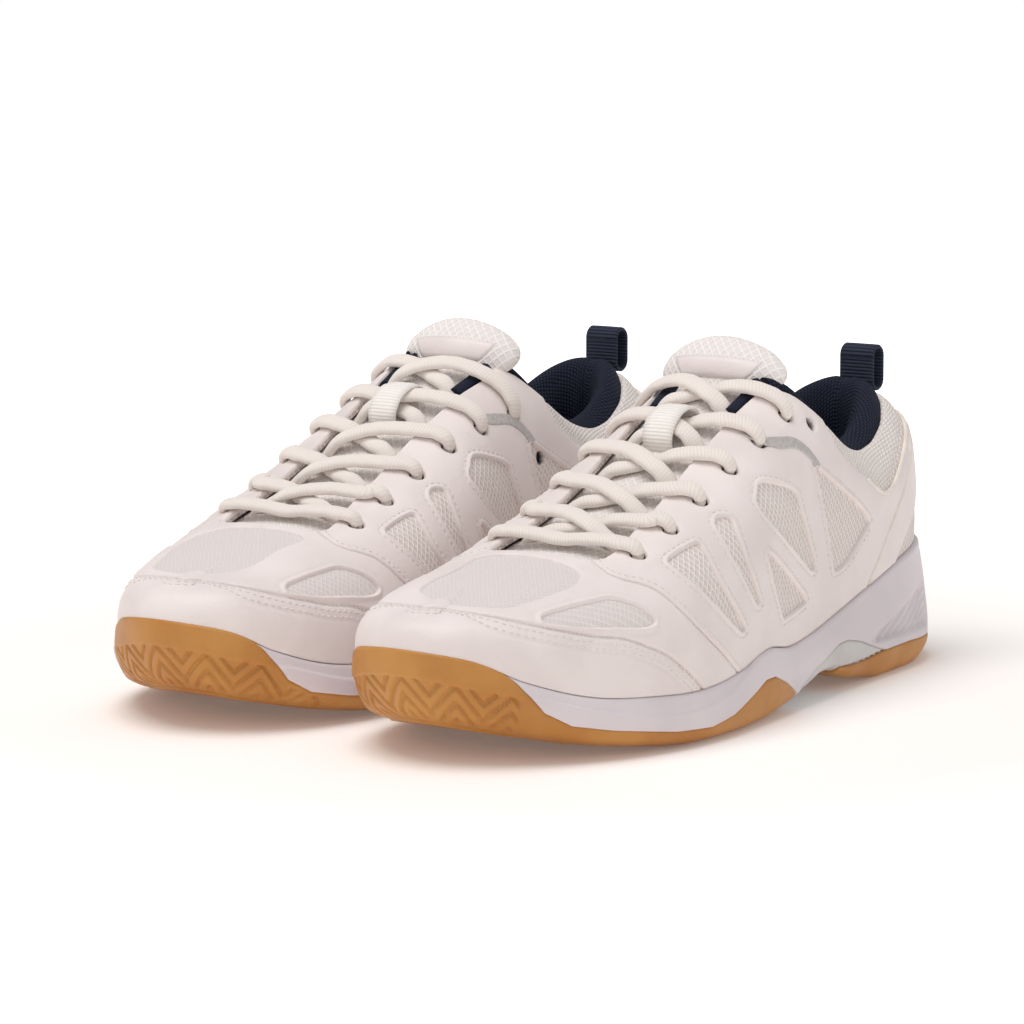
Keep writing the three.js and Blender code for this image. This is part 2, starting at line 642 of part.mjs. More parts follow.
function outlineRing(offsetAt, heightOf) {
  return Array.from({ length: AROUND }, (_, i) => {
    const u = i / AROUND;
    const foot = outlineAt(u);
    const travel = outline.getTangent(u);
    const offset = offsetAt(foot.y);
    const p = new THREE.Vector3(foot.x + offset * travel.y, foot.y - offset * travel.x, 0);
    p.z = heightOf(p.y, foot.y);
    return p;
  });
}

function wallRings(inset, lift, topLift, levels = [0, 1, 2, 3]) {
  return levels.map((k) =>
    outlineRing(
      (s) => along(WALL_FLARE[k], s) - inset,
      (s, footS) => {
        const [bottom, top] = [straightAlong(SOLE_BOTTOM, s) + lift, along(BOND_LINE, footS) + topLift];
        return bottom + (top - bottom) * WALL_SHARES[k];
      },
    ),
  );
}

function footbedSlab(offset, from, to) {
  const ring = (rise) => outlineRing(() => -offset, (s) => along(FOOTBED, s) + rise);
  return loft([ring(from), ring(to)]);
}

// Side-view outlines of the sole's outer pieces.
const FOREFOOT_GUM = gradedLine([
  [132, -4.5], [134, 6.5], [143, 11.5], [152, 15], [160, 15], [171, 11.5], [184, 7.5], [197, 5.5], [215, 6.5],
  [240, 10], [253, 12.7], [261, 17.5], [267, 25.5], [273, 34.5], [277, 48.5], [320, 48.5], [320, -4.5],
]);
const HEEL_GUM = gradedLine([
  [-30, -4.5], [-30, 8], [12, 8.8], [40, 10.1], [61, 9.9], [77, 8.5], [96, 8.5], [100, -4.5],
]);
const SHANK = gradedLine([
  [61.5, 10.2], [66, 11.5], [80, 16], [91, 18.1], [99, 17.8], [110, 14.3], [120, 11.8],
  [130, 7.5], [131.5, -4.5],
  [100, -4.5], [96, 8.5], [77, 8.5], [61, 9.9],
]);

function solePieces() {
  const envelope = loft(wallRings(0, 0, 0));
  const coreOf = (gap) => loft(wallRings(OUTSOLE_WALL + gap, OUTSOLE_TREAD + gap, 5, [0, 1, 3]));
  const core = coreOf(0);
  const outerPiece = (line, ds, dz) => envelope.intersect(sidePrism(shifted(line, ds, dz))).subtract(core);
  const cupTop = outlineRing(() => -RIM_WALL, (s, footS) => along(BOND_LINE, footS) + 10);
  const cupFloor = outlineRing(() => SEAT_GAP - FOOTBED_INSET, (s) => along(FOOTBED, s));
  const innerCore = coreOf(SEAT_GAP).intersect(envelope);
  const [forefoot, heel, shank] = [FOREFOOT_GUM, HEEL_GUM, SHANK].map(sidePrism);
  const midsole = envelope
    .subtract(heel.add(shank).add(forefoot))
    .add(innerCore)
    .subtract(loft([cupFloor, cupTop]));
  const boardTop = SEAT_GAP + BOARD_THICKNESS;
  const socklinerBase = boardTop + SEAT_GAP;
  return {
    outsole_forefoot: outerPiece(FOREFOOT_GUM, SEAT_GAP, -SEAT_GAP),
    outsole_heel: outerPiece(HEEL_GUM, -2 * SEAT_GAP, -2 * SEAT_GAP),
    shank_plate: outerPiece(SHANK, 0, -SEAT_GAP),
    midsole,
    insole_board: footbedSlab(FOOTBED_INSET, SEAT_GAP, boardTop),
    sockliner: footbedSlab(FOOTBED_INSET, socklinerBase, socklinerBase + SOCKLINER_THICKNESS),
  };
}

// ---- Heel pull loop -----------------------------------------------------------------------------
const LOOP_SINK = 1; // its round underside dips between the padding's edges
const LOOP_BASE = [0, station(10.5), graded(0, 0, HEEL_TOP)[2] + PADDING_RISE - LOOP_SINK + 2 * SEAT_GAP];

function heelPullLoop() {
  const stadium = (inset) => {
    const radius = LOOP_DEPTH / 2;
    const path = new THREE.Path();
    path.absarc(0, radius, radius - inset, Math.PI, 2 * Math.PI, false);
    path.absarc(0, LOOP_HEIGHT - radius, radius - inset, 0, Math.PI, false);
    return path.getPoints(5);
  };
  const shape = new THREE.Shape(stadium(0));
  shape.holes.push(new THREE.Path(stadium(WEBBING)));
  const geometry = new THREE.ExtrudeGeometry(shape, { depth: LOOP_WIDTH, bevelEnabled: false });
  geometry.translate(0, 0, -LOOP_WIDTH / 2);
  geometry.applyMatrix4(new THREE.Matrix4().set(0, 0, 1, 0, 1, 0, 0, 0, 0, 1, 0, 0, 0, 0, 0, 1));
  return solidOf(geometry.translate(...LOOP_BASE));
}

// ---- Assembly -----------------------------------------------------------------------------------
const leather = new THREE.MeshStandardMaterial({ color: 0xede6e4, roughness: 0.5, metalness: 0 });
const mesh = new THREE.MeshStandardMaterial({ color: 0xe9e4df, roughness: 0.85, metalness: 0 });
const foam = new THREE.MeshStandardMaterial({ color: 0xe3dfe8, roughness: 0.6, metalness: 0 });
const gum = new THREE.MeshStandardMaterial({ color: 0xc98b3f, roughness: 0.5, metalness: 0 });
const navy = new THREE.MeshStandardMaterial({ color: 0x1b2033, roughness: 0.9, metalness: 0 });
const cord = new THREE.MeshStandardMaterial({ color: 0xefeae2, roughness: 0.9, metalness: 0 });
const silver = new THREE.MeshStandardMaterial({ color: 0xb5b3af, roughness: 0.4, metalness: 0.3 });
const board = new THREE.MeshStandardMaterial({ color: 0xd8cdb8, roughness: 0.9, metalness: 0 });

const sole = solePieces();
const lacing = laces();
const pieces = [
  ["outsole_forefoot", sole.outsole_forefoot, gum],
  ["outsole_heel", sole.outsole_heel, gum],
  ["midsole", sole.midsole, foam],
  ["shank_plate", sole.shank_plate, silver],
  ["insole_board", sole.insole_board, board],
  ["sockliner", sole.sockliner, navy],
  ["mesh_upper", meshUpper(), mesh],
  ["toe_cap", toeCap(), leather],
  ["toe_puff", toePuff(), board],
  ["vamp_overlay", vampOverlay(), leather],
  ["lateral_quarter", quarter(1), leather],
  ["medial_quarter", quarter(-1), leather],
  ["heel_overlay", heelOverlay(), leather],
  ["heel_counter", heelCounter(), board],
  ["collar_padding", collarPadding(), navy],
  ["lateral_strip", reflectiveStrip(1), silver],
  ["medial_strip", reflectiveStrip(-1), silver],
  ["lateral_throat_binding", throatBinding(1), navy],
  ["medial_throat_binding", throatBinding(-1), navy],
  ["tongue_body", tongueBody(), mesh],
  ["tongue_top", tongueTop(), mesh],
  ["heel_pull_loop", heelPullLoop(), navy],
  ["lace_keeper", laceKeeper(), mesh],
  ["lace", lacing.lace, cord],
  ["lateral_aglet", lacing.aglets[0], cord],
  ["medial_aglet", lacing.aglets[1], cord],
];

// The origin lies below the middle of the pair's box.
const toeEnd = sole.outsole_forefoot.boundingBox().max[1];
const heelEnd = sole.midsole.boundingBox().min[1];
const middle = (toeEnd + heelEnd) / 2;
const pair = new THREE.Group();
for (const [side, place] of [["left", 1], ["right", -1]]) {
  const shoe = new THREE.Group();
  shoe.scale.set(place, -1, 1);
  shoe.position.set((place * PAIR_SPACING) / 2, middle, 0);
  for (const [name, solid, material] of pieces) {
    const piece = new THREE.Mesh(geometryOf(solid), material);
    piece.name = `${side}_${name}`;
    shoe.add(piece);
  }
  pair.add(shoe);
}

export default pair;
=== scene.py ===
"""The looks of a pair of cheer shoes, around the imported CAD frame.

One shoe is drawn in millimetres in its own terms: x is outboard of its centre line, s is the distance
forward of the back of the heel, and z is the height. Each piece is placed twice, for both shoes.
"""

import math

import bpy
import numpy as np
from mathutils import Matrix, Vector


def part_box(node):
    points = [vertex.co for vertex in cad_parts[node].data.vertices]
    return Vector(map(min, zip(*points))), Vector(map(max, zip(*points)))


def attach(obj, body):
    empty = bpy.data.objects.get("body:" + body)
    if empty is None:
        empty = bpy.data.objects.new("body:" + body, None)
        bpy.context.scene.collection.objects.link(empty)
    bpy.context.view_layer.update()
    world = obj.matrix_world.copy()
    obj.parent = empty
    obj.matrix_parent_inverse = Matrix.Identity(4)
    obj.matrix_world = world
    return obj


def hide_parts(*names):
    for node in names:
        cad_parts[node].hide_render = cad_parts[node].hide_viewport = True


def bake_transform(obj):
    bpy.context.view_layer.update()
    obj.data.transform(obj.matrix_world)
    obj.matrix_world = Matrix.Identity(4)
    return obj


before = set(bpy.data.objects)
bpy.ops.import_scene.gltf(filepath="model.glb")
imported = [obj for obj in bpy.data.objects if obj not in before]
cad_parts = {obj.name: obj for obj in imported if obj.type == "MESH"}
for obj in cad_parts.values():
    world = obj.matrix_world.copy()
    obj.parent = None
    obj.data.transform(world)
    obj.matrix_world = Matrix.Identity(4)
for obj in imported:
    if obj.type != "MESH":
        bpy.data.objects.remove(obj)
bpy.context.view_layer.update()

MM = 0.001
LOOP_S = 10.5  # the heel loop's centre, forward of the heel's back
LOOP_LOW, LOOP_HIGH = (np.array(c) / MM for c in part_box("left_heel_pull_loop"))
CENTRE_X = (LOOP_LOW[0] + LOOP_HIGH[0]) / 2
MIDDLE = (LOOP_LOW[1] + LOOP_HIGH[1]) / 2 + LOOP_S

# ---- Camera, light and floor -----------------------------------------------------------------
AZIMUTH = math.radians(35.02)
ELEVATION = math.radians(8.1)
DISTANCE = 1.4908
LENS = 150.0
SENSOR = 36
VIEW_DEPTH = 50
TARGET = Vector((-0.0058, MIDDLE * MM - 0.145, 0.0605))


def direction_to(azimuth, elevation):
    """The direction from the subject to a point at an azimuth from -Y and an elevation, in radians."""
    level = math.cos(elevation)
    return Vector((math.sin(azimuth) * level, -math.cos(azimuth) * level, math.sin(elevation)))


def aimed(name, data, target, back, distance):
    """Adds a camera or light at a distance from its target, looking at it."""
    obj = bpy.data.objects.new(name, data)
    obj.location = back * distance + target
    obj.rotation_mode = "QUATERNION"
    obj.rotation_quaternion = (-back).to_track_quat("-Z", "Y")
    bpy.context.collection.objects.link(obj)
    return obj


def make_camera():
    data = bpy.data.cameras.new("camera")
    data.sensor_width = SENSOR
    data.lens = LENS
    data.clip_end = VIEW_DEPTH
    back = direction_to(AZIMUTH, ELEVATION)
    bpy.context.scene.camera = aimed("camera", data, TARGET, back, DISTANCE)


def area_light(name, azimuth, elevation, distance, size, power, colour):
    data = bpy.data.lights.new(name, "AREA")
    data.shape = "DISK"
    data.size = size
    data.energy = power
    data.color = colour
    back = direction_to(math.radians(azimuth), math.radians(elevation))
    aimed(name, data, LIGHT_TARGET, back, distance)


LIGHT_TARGET = Vector((0, 0, 0.05))
WHITE = (1.0, 1.0, 1.0, 1)
PAPER = (1.0, 0.965, 0.935, 1)
AMBIENT, BACKDROP = 0.45, 1.0
FLOOR_REACH, FLOOR_DROP = 6, 0.0002
# The paper shades off into the white backdrop between two distances from the middle.
FLOOR_GLOW = {"From Min": 0.2, "From Max": 0.75, "To Min": 0.1, "To Max": 0.85}


def make_world():
    """Soft white light all round, in front of a pure white backdrop."""
    world = bpy.data.worlds.new("studio")
    world.use_nodes = True
    nodes, links = world.node_tree.nodes, world.node_tree.links
    background = nodes["Background"]
    backdrop = nodes.new("ShaderNodeBackground")
    for node, strength in ((background, AMBIENT), (backdrop, BACKDROP)):
        node.inputs["Color"].default_value = WHITE
        node.inputs["Strength"].default_value = strength
    seen = nodes.new("ShaderNodeLightPath")
    mix = nodes.new("ShaderNodeMixShader")
    links.new(seen.outputs["Is Camera Ray"], mix.inputs["Fac"])
    links.new(background.outputs[0], mix.inputs[1])
    links.new(backdrop.outputs[0], mix.inputs[2])
    links.new(mix.outputs[0], nodes["World Output"].inputs["Surface"])
    bpy.context.scene.world = world


def paper():
    material = bpy.data.materials.new("paper")
    material.use_nodes = True
    nodes, links = material.node_tree.nodes, material.node_tree.links
    shader = nodes["Principled BSDF"]
    shader.inputs["Base Color"].default_value = PAPER
    shader.inputs["Emission Color"].default_value = WHITE
    shader.inputs["Roughness"].default_value = 0.95
    shader.inputs["Specular IOR Level"].default_value = 0.1
    coordinates = nodes.new("ShaderNodeTexCoord")
    distance = nodes.new("ShaderNodeVectorMath")
    distance.operation = "LENGTH"
    glow = nodes.new("ShaderNodeMapRange")
    for key, value in FLOOR_GLOW.items():
        glow.inputs[key].default_value = value
    links.new(coordinates.outputs["Object"], distance.inputs[0])
    links.new(distance.outputs["Value"], glow.inputs["Value"])
    links.new(glow.outputs["Result"], shader.inputs["Emission Strength"])
    return material


def make_studio():
    make_world()
    area_light("key", -20, 74, 1.5, 1.1, 13.0, (1.0, 0.975, 0.965))
    area_light("fill", 60, 25, 1.9, 1.2, 1.5, (1.0, 0.97, 0.96))
    view = bpy.context.scene.view_settings
    view.view_transform = "Standard"
    view.look = "None"
    mesh = bpy.data.meshes.new("floor")
    r = FLOOR_REACH
    mesh.from_pydata([(-r, -r, 0), (r, -r, 0), (r, r, 0), (-r, r, 0)], [], [(0, 1, 2, 3)])
    mesh.materials.append(paper())
    floor = bpy.data.objects.new("floor", mesh)
    floor.location.z = -FLOOR_DROP
    bpy.context.collection.objects.link(floor)


make_camera()
make_studio()

# ---- Curves -----------------------------------------------------------------------------------


def along(knots, position):
    """A smooth curve through knots of (position, value), held level beyond its ends."""
    knots = np.asarray(knots, float)
    p, v = knots[:, 0], knots[:, 1]
    slope = np.empty(len(p))
    slope[0] = (v[1] - v[0]) / (p[1] - p[0])
    slope[-1] = (v[-1] - v[-2]) / (p[-1] - p[-2])
    slope[1:-1] = (v[2:] - v[:-2]) / (p[2:] - p[:-2])
    at = np.clip(np.asarray(position, float), p[0], p[-1])
    i = np.clip(np.searchsorted(p, at, side="right") - 1, 0, len(p) - 2)
    width = p[i + 1] - p[i]
    t = (at - p[i]) / width
    rise = (t**3 - 2 * t**2 + t) * width * slope[i] + (t**3 - t**2) * width * slope[i + 1]
    return (2 * t**3 - 3 * t**2 + 1) * v[i] + (3 * t**2 - 2 * t**3) * v[i + 1] + rise


def smooth(low, high, value):
    t = np.clip((value - low) / (high - low), 0, 1)
    return t * t * (3 - 2 * t)


def unit(vectors, least=0.0):
    """The vectors, each with a length of 1."""
    return vectors / np.maximum(np.linalg.norm(vectors, axis=-1, keepdims=True), least)


def travelled(points):
    """The length along a line up to each of its points."""
    return np.concatenate([[0], np.linalg.norm(np.diff(points, axis=0), axis=1).cumsum()])


def at_lengths(at, length, points):
    """The points or vectors of a line at given lengths along it."""
    return np.stack([np.interp(at, length, points[:, k]) for k in range(3)], 1)


def loop_curve(points, t):
    """A closed smooth curve through points. t counts the points passed."""
    k = np.floor(t).astype(int)
    f = (t - k)[..., None]
    a, b, c, d = (points[(k + i) % len(points)] for i in (-1, 0, 1, 2))
    square = (2 * a - 5 * b + 4 * c - d) * f**2
    return 0.5 * (2 * b + (c - a) * f + square + (3 * b - a - 3 * c + d) * f**3)


def bump(value, centre, half_width):
    """1 at the centre, falling smoothly to 0 at half_width on either side."""
    return 1 - smooth(0, half_width, np.abs(value - centre))


# ---- The last ---------------------------------------------------------------------------------
OUTLINE = np.array([
    (0, 5), (18, 10), (29, 28), (33.5, 55), (36.5, 85), (41.5, 127), (46, 160), (48.5, 194),
    (45.5, 221), (35.5, 248), (17, 273), (-6, 284), (-28, 275), (-41, 252), (-46.5, 222),
    (-45.5, 188), (-40, 156), (-33.5, 122), (-31, 85), (-31, 52), (-27, 24), (-16, 9),
], float)
BOND_LINE = [
    (5, 44.5), (25, 42.5), (55, 36.5), (85, 30), (115, 24), (135, 22), (153, 24), (172, 20),
    (197, 17.5), (222, 18.5), (245, 21), (264, 27.5), (275, 34.5), (284, 38),
]
INSTEP_HEIGHT = [
    (36, 138), (85, 121), (115, 107.5), (147, 89.5), (178, 72.5), (210, 60), (240, 53), (252, 49.5),
]
INSTEP_X = [(36, 0), (100, 0.5), (135, 2), (195, 2), (225, -1), (252, -6)]
BULGE = [(5, 0.03), (60, 0.04), (150, 0.05), (200, 0.045), (245, 0.02)]
RISE = [
    (5, 0.46), (60, 0.54), (115, 0.58), (160, 0.62), (198, 0.65), (222, 0.7), (245, 0.75), (285, 0.8),
]
SHOULDER = [
    (5, 0.62), (30, 0.74), (60, 0.92), (85, 1), (130, 1), (153, 0.95), (175, 0.9), (198, 0.85),
    (222, 0.8), (245, 0.75), (285, 0.7),
]
HEEL_TOP = 95
COLLAR_LINE = [
    (0, HEEL_TOP), (8, HEEL_TOP), (16, 94), (26, 90), (36, 84), (46, 79.5), (57, 78), (68, 80),
    (79, 84.5), (90, 91), (100, 98), (106, 102.5), (114, 105),
]
THROAT_START, THROAT_END = 103, 217
THROAT_HALF_WIDTH = [
    (100, 15), (114, 18.5), (130, 17.5), (153, 17), (165, 17.2), (180, 18.2), (195, 19.5), (206, 21.5),
    (213, 21.5), (217, 20),
]
HEEL_S, TOE_S = 5, 284
INSTEP_BACK, INSTEP_FRONT = 36, 252


def outline(u):
    """The joint of upper and sole. u runs once round: 0 at the heel, 0.5 at the toe, outboard below 0.5."""
    return loop_curve(OUTLINE, (np.asarray(u, float) % 1) * len(OUTLINE))


def ridge_point(s):
    return np.stack([along(INSTEP_X, s), s, along(INSTEP_HEIGHT, s)], -1)


def instep_slope(s):
    return (along(INSTEP_HEIGHT, s + 1) - along(INSTEP_HEIGHT, s - 1)) / 2


def instep_normal(s):
    slope = instep_slope(s)
    return unit(np.stack([slope * 0, -slope, slope * 0 + 1], 1))


ROLL_HEIGHT = 17  # how far below the collar's edge the padding starts to round the upper inwards
ROLL_DEPTH = [
    (0, 4), (8, 7), (16, 11), (30, 12.5), (42, 11), (52, 9), (75, 5.5), (92, 3), (104, 1.5), (114, 0),
]
ROLL_POWER, ROLL_LIMIT = 2.3, 1.12
COLLAR_END = 114


def last_surface(u, h):
    """The surface that the upper is pulled over: h is 0 at the sole and 1 at the instep's ridge."""
    u, h = np.broadcast_arrays(np.asarray(u, float), np.asarray(h, float))
    foot2 = outline(u)
    s = foot2[..., 1]
    mean_s = (s + outline(1 - u)[..., 1]) / 2
    ridge_s = INSTEP_BACK + (mean_s - HEEL_S) * (INSTEP_FRONT - INSTEP_BACK) / (TOE_S - HEEL_S)
    foot = np.stack([foot2[..., 0], s, along(BOND_LINE, s)], -1)
    ridge = ridge_point(ridge_s)
    out = foot - ridge
    out[..., 2] = 0
    up = np.zeros_like(foot)
    up[..., 2] = ridge[..., 2] - foot[..., 2]
    wall = foot + along(BULGE, s)[..., None] * out + along(RISE, s)[..., None] * up
    shoulder = ridge + along(SHOULDER, s)[..., None] * out
    shoulder[..., 2] += instep_slope(ridge_s) * (shoulder[..., 1] - ridge[..., 1])
    h = h[..., None]
    p = (1 - h)**3 * foot + 3 * (1 - h)**2 * h * wall + 3 * (1 - h) * h * h * shoulder + h**3 * ridge
    # The padded collar rounds the top of the upper inwards.
    reach = np.linalg.norm(out[..., :2], axis=-1)
    t = np.clip((p[..., 2] - along(COLLAR_LINE, p[..., 1])) / ROLL_HEIGHT + 1, 0, ROLL_LIMIT)
    inwards = along(ROLL_DEPTH, p[..., 1]) * (t**ROLL_POWER)
    inwards = np.where(p[..., 1] < COLLAR_END, inwards, 0)
    return p - out * (inwards / np.maximum(reach, 1))[..., None]


def normals(grid):
    """Outward normals of a grid of points that closes on itself along its first axis."""
    du = np.roll(grid, -1, 0) - np.roll(grid, 1, 0)
    return unit(np.cross(du, np.gradient(grid, axis=1)), 1e-9)


def skin(u, h, depth):
    """Points of the last's surface moved outwards by depth."""
    e = 1e-3
    p = last_surface(u, h)
    forward = last_surface(u + e, h) - last_surface(u - e, h)
    upward = last_surface(u, np.minimum(h + e, 1)) - last_surface(u, h - e)
    return p + unit(np.cross(forward, upward)) * np.asarray(depth, float)[..., None]


def on_instep(points):
    """The points at distances outboard of the instep's ridge, raised by a depth: rows of offset, s, depth."""
    offset, s, depth = np.asarray(points, float).T
    target = np.stack([along(INSTEP_X, s) + offset, s], 1)
    u = np.where(offset > 0, 0.2, 0.8)
    h = np.full(len(s), 0.85)
    e = 1e-4
    for _ in range(30):
        here = last_surface(u, h)[:, :2]
        a = (last_surface(u + e, h)[:, :2] - here) / e
        b = (here - last_surface(u, h - e)[:, :2]) / e
        gap = target - here
        det = a[:, 0] * b[:, 1] - a[:, 1] * b[:, 0]
        det = np.where(np.abs(det) < 1e-6, 1e-6, det)
        du = (gap[:, 0] * b[:, 1] - gap[:, 1] * b[:, 0]) / det
        dh = (a[:, 0] * gap[:, 1] - a[:, 1] * gap[:, 0]) / det
        u = u + np.clip(du, -0.05, 0.05)
        h = np.clip(h + np.clip(dh, -0.05, 0.05), 0.3, 0.9995)
    found = skin(u, h, depth)
    middle = ridge_point(s) + instep_normal(s) * depth[:, None]
    return np.where((np.abs(offset) < 0.5)[:, None], middle, found)


# ---- Meshes -----------------------------------------------------------------------------------
class Patch:
    """Triangles on a surface, with a row of values at each vertex that cuts carry along."""

    def __init__(self, triangles, values):
        self.triangles = triangles
        self.columns = {}
        self.data = np.zeros((len(next(iter(values.values()))), 0))
        for name, value in values.items():
            self.add(name, value)

    def add(self, name, value):
        value = np.asarray(value, float).reshape(len(self.data), -1)
        start = self.data.shape[1]
        self.columns[name] = slice(start, start + value.shape[1])
        self.data = np.hstack([self.data, value])

    def get(self, name):
        value = self.data[:, self.columns[name]]
        return value[:, 0] if value.shape[1] == 1 else value

    def set(self, name, value):
        self.data[:, self.columns[name]] = np.asarray(value, float).reshape(len(self.data), -1)

    def cut(self, name, *levels):
        """Splits the triangles along each level of a value."""
        for level in levels:
            f = self.get(name) - level
            f = np.where(np.abs(f) < 1e-7, 1e-7, f)
            above = f[self.triangles] > 0
            count = above.sum(1)
            crossed = (count == 1) | (count == 2)
            if not crossed.any():
                continue
            rest, cut, side = self.triangles[~crossed], self.triangles[crossed], above[crossed]
            lone = np.where(count[crossed] == 1, side.argmax(1), side.argmin(1))
            a, b, c = (cut[np.arange(len(cut)), (lone + k) % 3] for k in range(3))
            edges = np.sort(np.concatenate([np.stack([a, b], 1), np.stack([a, c], 1)]), axis=1)
            unique, inverse = np.unique(edges, axis=0, return_inverse=True)
            inverse = inverse.reshape(-1)
            i, j = unique[:, 0], unique[:, 1]
            t = (f[i] / (f[i] - f[j]))[:, None]
            new = self.data[i] * (1 - t) + self.data[j] * t
            first = len(self.data)
            self.data = np.vstack([self.data, new])
            p, q = first + inverse[:len(cut)], first + inverse[len(cut):]
            made = [np.stack(t3, 1) for t3 in ((a, p, q), (p, b, c), (p, c, q))]
            self.triangles = np.vstack([rest, *made])
        return self

    def keep(self, name, level=0.0):
        """Drops the triangles where a value is below a level, after a cut along it."""
        self.cut(name, level)
        middle = self.get(name)[self.triangles].mean(1)
        self.triangles = self.triangles[middle > level]
        return self

    def trim(self, name, value):
        """Keeps only where a new value is above zero."""
        self.add(name, value)
        return self.keep(name)

    def drop(self, name, level=0.0):
        """Drops the triangles where a value is above a level."""
        self.cut(name, level)
        middle = self.get(name)[self.triangles].mean(1)
        self.triangles = self.triangles[middle < level]
        return self

    def copy(self):
        other = Patch.__new__(Patch)
        other.triangles, other.data = self.triangles.copy(), self.data.copy()
        other.columns = dict(self.columns)
        return other

    def tidy(self):
        """Drops unused vertices and slivers without area."""
        t = self.triangles
        p = self.get("p")
        area = np.linalg.norm(np.cross(p[t[:, 1]] - p[t[:, 0]], p[t[:, 2]] - p[t[:, 0]]), axis=1)
        t = t[area > 1e-9]
        used, t = np.unique(t, return_inverse=True)
        self.data = self.data[used]
        self.triangles = t.reshape(-1, 3)
        return self


def halves(a, b, c, d):
    """The two triangles of each quad, given by its corners."""
    return np.vstack([np.stack([a, b, c], 1), np.stack([a, c, d], 1)])


def edges_of(t):
    return np.concatenate([t[:, [0, 1]], t[:, [1, 2]], t[:, [2, 0]]])


def border(triangles):
    """The directed edges that only one triangle uses."""
    edges = edges_of(triangles)
    key = np.sort(edges, axis=1)
    _, inverse, count = np.unique(key, axis=0, return_inverse=True, return_counts=True)
    return edges[count[inverse.reshape(-1)] == 1]


def shell(patch, top, base):
    """A closed solid between two depths outwards of a patch, as (vertices, triangles, uv)."""
    patch.tidy()
    p, n, uv = patch.get("p"), patch.get("n"), patch.get("uv")
    count = len(p)
    upper = p + n * np.asarray(top, float).reshape(-1, 1)
    lower = p + n * np.broadcast_to(np.asarray(base, float), (count,)).reshape(-1, 1)
    edge = border(patch.triangles)
    a, b = edge[:, 0], edge[:, 1]
    sides = halves(b, a, a + count, b + count)
    triangles = np.vstack([patch.triangles, patch.triangles[:, ::-1] + count, sides])
    return np.vstack([upper, lower]), triangles, np.vstack([uv, uv])


def loft(rings, closed=False):
    """Rings of equally many points, skinned in order, with a cap at each end unless it closes on itself."""
    rings = np.asarray(rings, float)
    k, n = rings.shape[:2]
    i, j = np.meshgrid(np.arange(k if closed else k - 1), np.arange(n), indexing="ij")
    i, j = i.ravel(), j.ravel()
    a, b = i * n + j, i * n + (j + 1) % n
    c, d = ((i + 1) % k) * n + (j + 1) % n, ((i + 1) % k) * n + j
    faces = halves(a, b, c, d)
    points = rings.reshape(-1, 3)
    around = np.linalg.norm(np.diff(rings, axis=1, append=rings[:, :1]), axis=2).cumsum(1)
    length = np.linalg.norm(np.diff(rings.mean(1), axis=0, prepend=rings[:1].mean(1)), axis=1).cumsum()
    uv = np.stack([around, np.repeat(length[:, None], n, 1)], -1).reshape(-1, 2)
    if not closed:
        ends = np.stack([rings[0].mean(0), rings[-1].mean(0)])
        first, last = len(points), len(points) + 1
        j = np.arange(n)
        caps = [np.stack([np.full(n, first), (j + 1) % n, j], 1)]
        caps.append(np.stack([np.full(n, last), (k - 1) * n + j, (k - 1) * n + (j + 1) % n], 1))
        points = np.vstack([points, ends])
        faces = np.vstack([faces, *caps])
        uv = np.vstack([uv, uv[:1], uv[-1:]])
    return points, faces, uv


def joined(parts):
    """Several (vertices, triangles, uv) as one."""
    vertices, faces, uvs, start = [], [], [], 0
    for v, f, uv in parts:
        vertices.append(v)
        faces.append(np.asarray(f) + start)
        uvs.append(uv)
        start += len(v)
    return np.vstack(vertices), np.vstack(faces), np.vstack(uvs)


def outward(part):
    """The part with its faces turned outwards, told by the sign of its volume."""
    v, f, uv = part
    volume = np.einsum("ij,ij->i", v[f[:, 0]], np.cross(v[f[:, 1]], v[f[:, 2]])).sum()
    return (v, f, uv) if volume > 0 else (v, f[:, ::-1], uv)


def tube(path, across, section):
    """A closed tube along a path. across is the direction of the section's first axis at each point."""
    direction = unit(np.gradient(path, axis=0))
    across = unit(across - direction * (across * direction).sum(1, keepdims=True), 1e-9)
    second = np.cross(direction, across)
    if section.ndim == 2:
        section = np.broadcast_to(section, (len(path), *section.shape))
    rings = path[:, None] + across[:, None] * section[..., :1] + second[:, None] * section[..., 1:]
    return outward(loft(rings))


def resampled(path, step):
    """A smooth curve through points, with points evenly spaced along it."""
    gaps = np.linalg.norm(np.diff(path, axis=0), axis=1) ** 0.5
    knots = np.concatenate([[0], gaps.cumsum()])
    fine = np.linspace(0, knots[-1], 24 * len(path))
    curve = np.stack([along(np.stack([knots, path[:, k]], 1), fine) for k in range(3)], 1)
    length = travelled(curve)
    at = np.linspace(0, length[-1], max(4, int(length[-1] / step)))
    return at_lengths(at, length, curve)


def ellipse(width, height, count, power=2.0):
    turn = np.linspace(0, 2 * math.pi, count, endpoint=False)
    c, s = np.cos(turn), np.sin(turn)
    shape = 2 / power
    x = width / 2 * np.sign(c) * np.abs(c)**shape
    return np.stack([x, height / 2 * np.sign(s) * np.abs(s)**shape], 1)


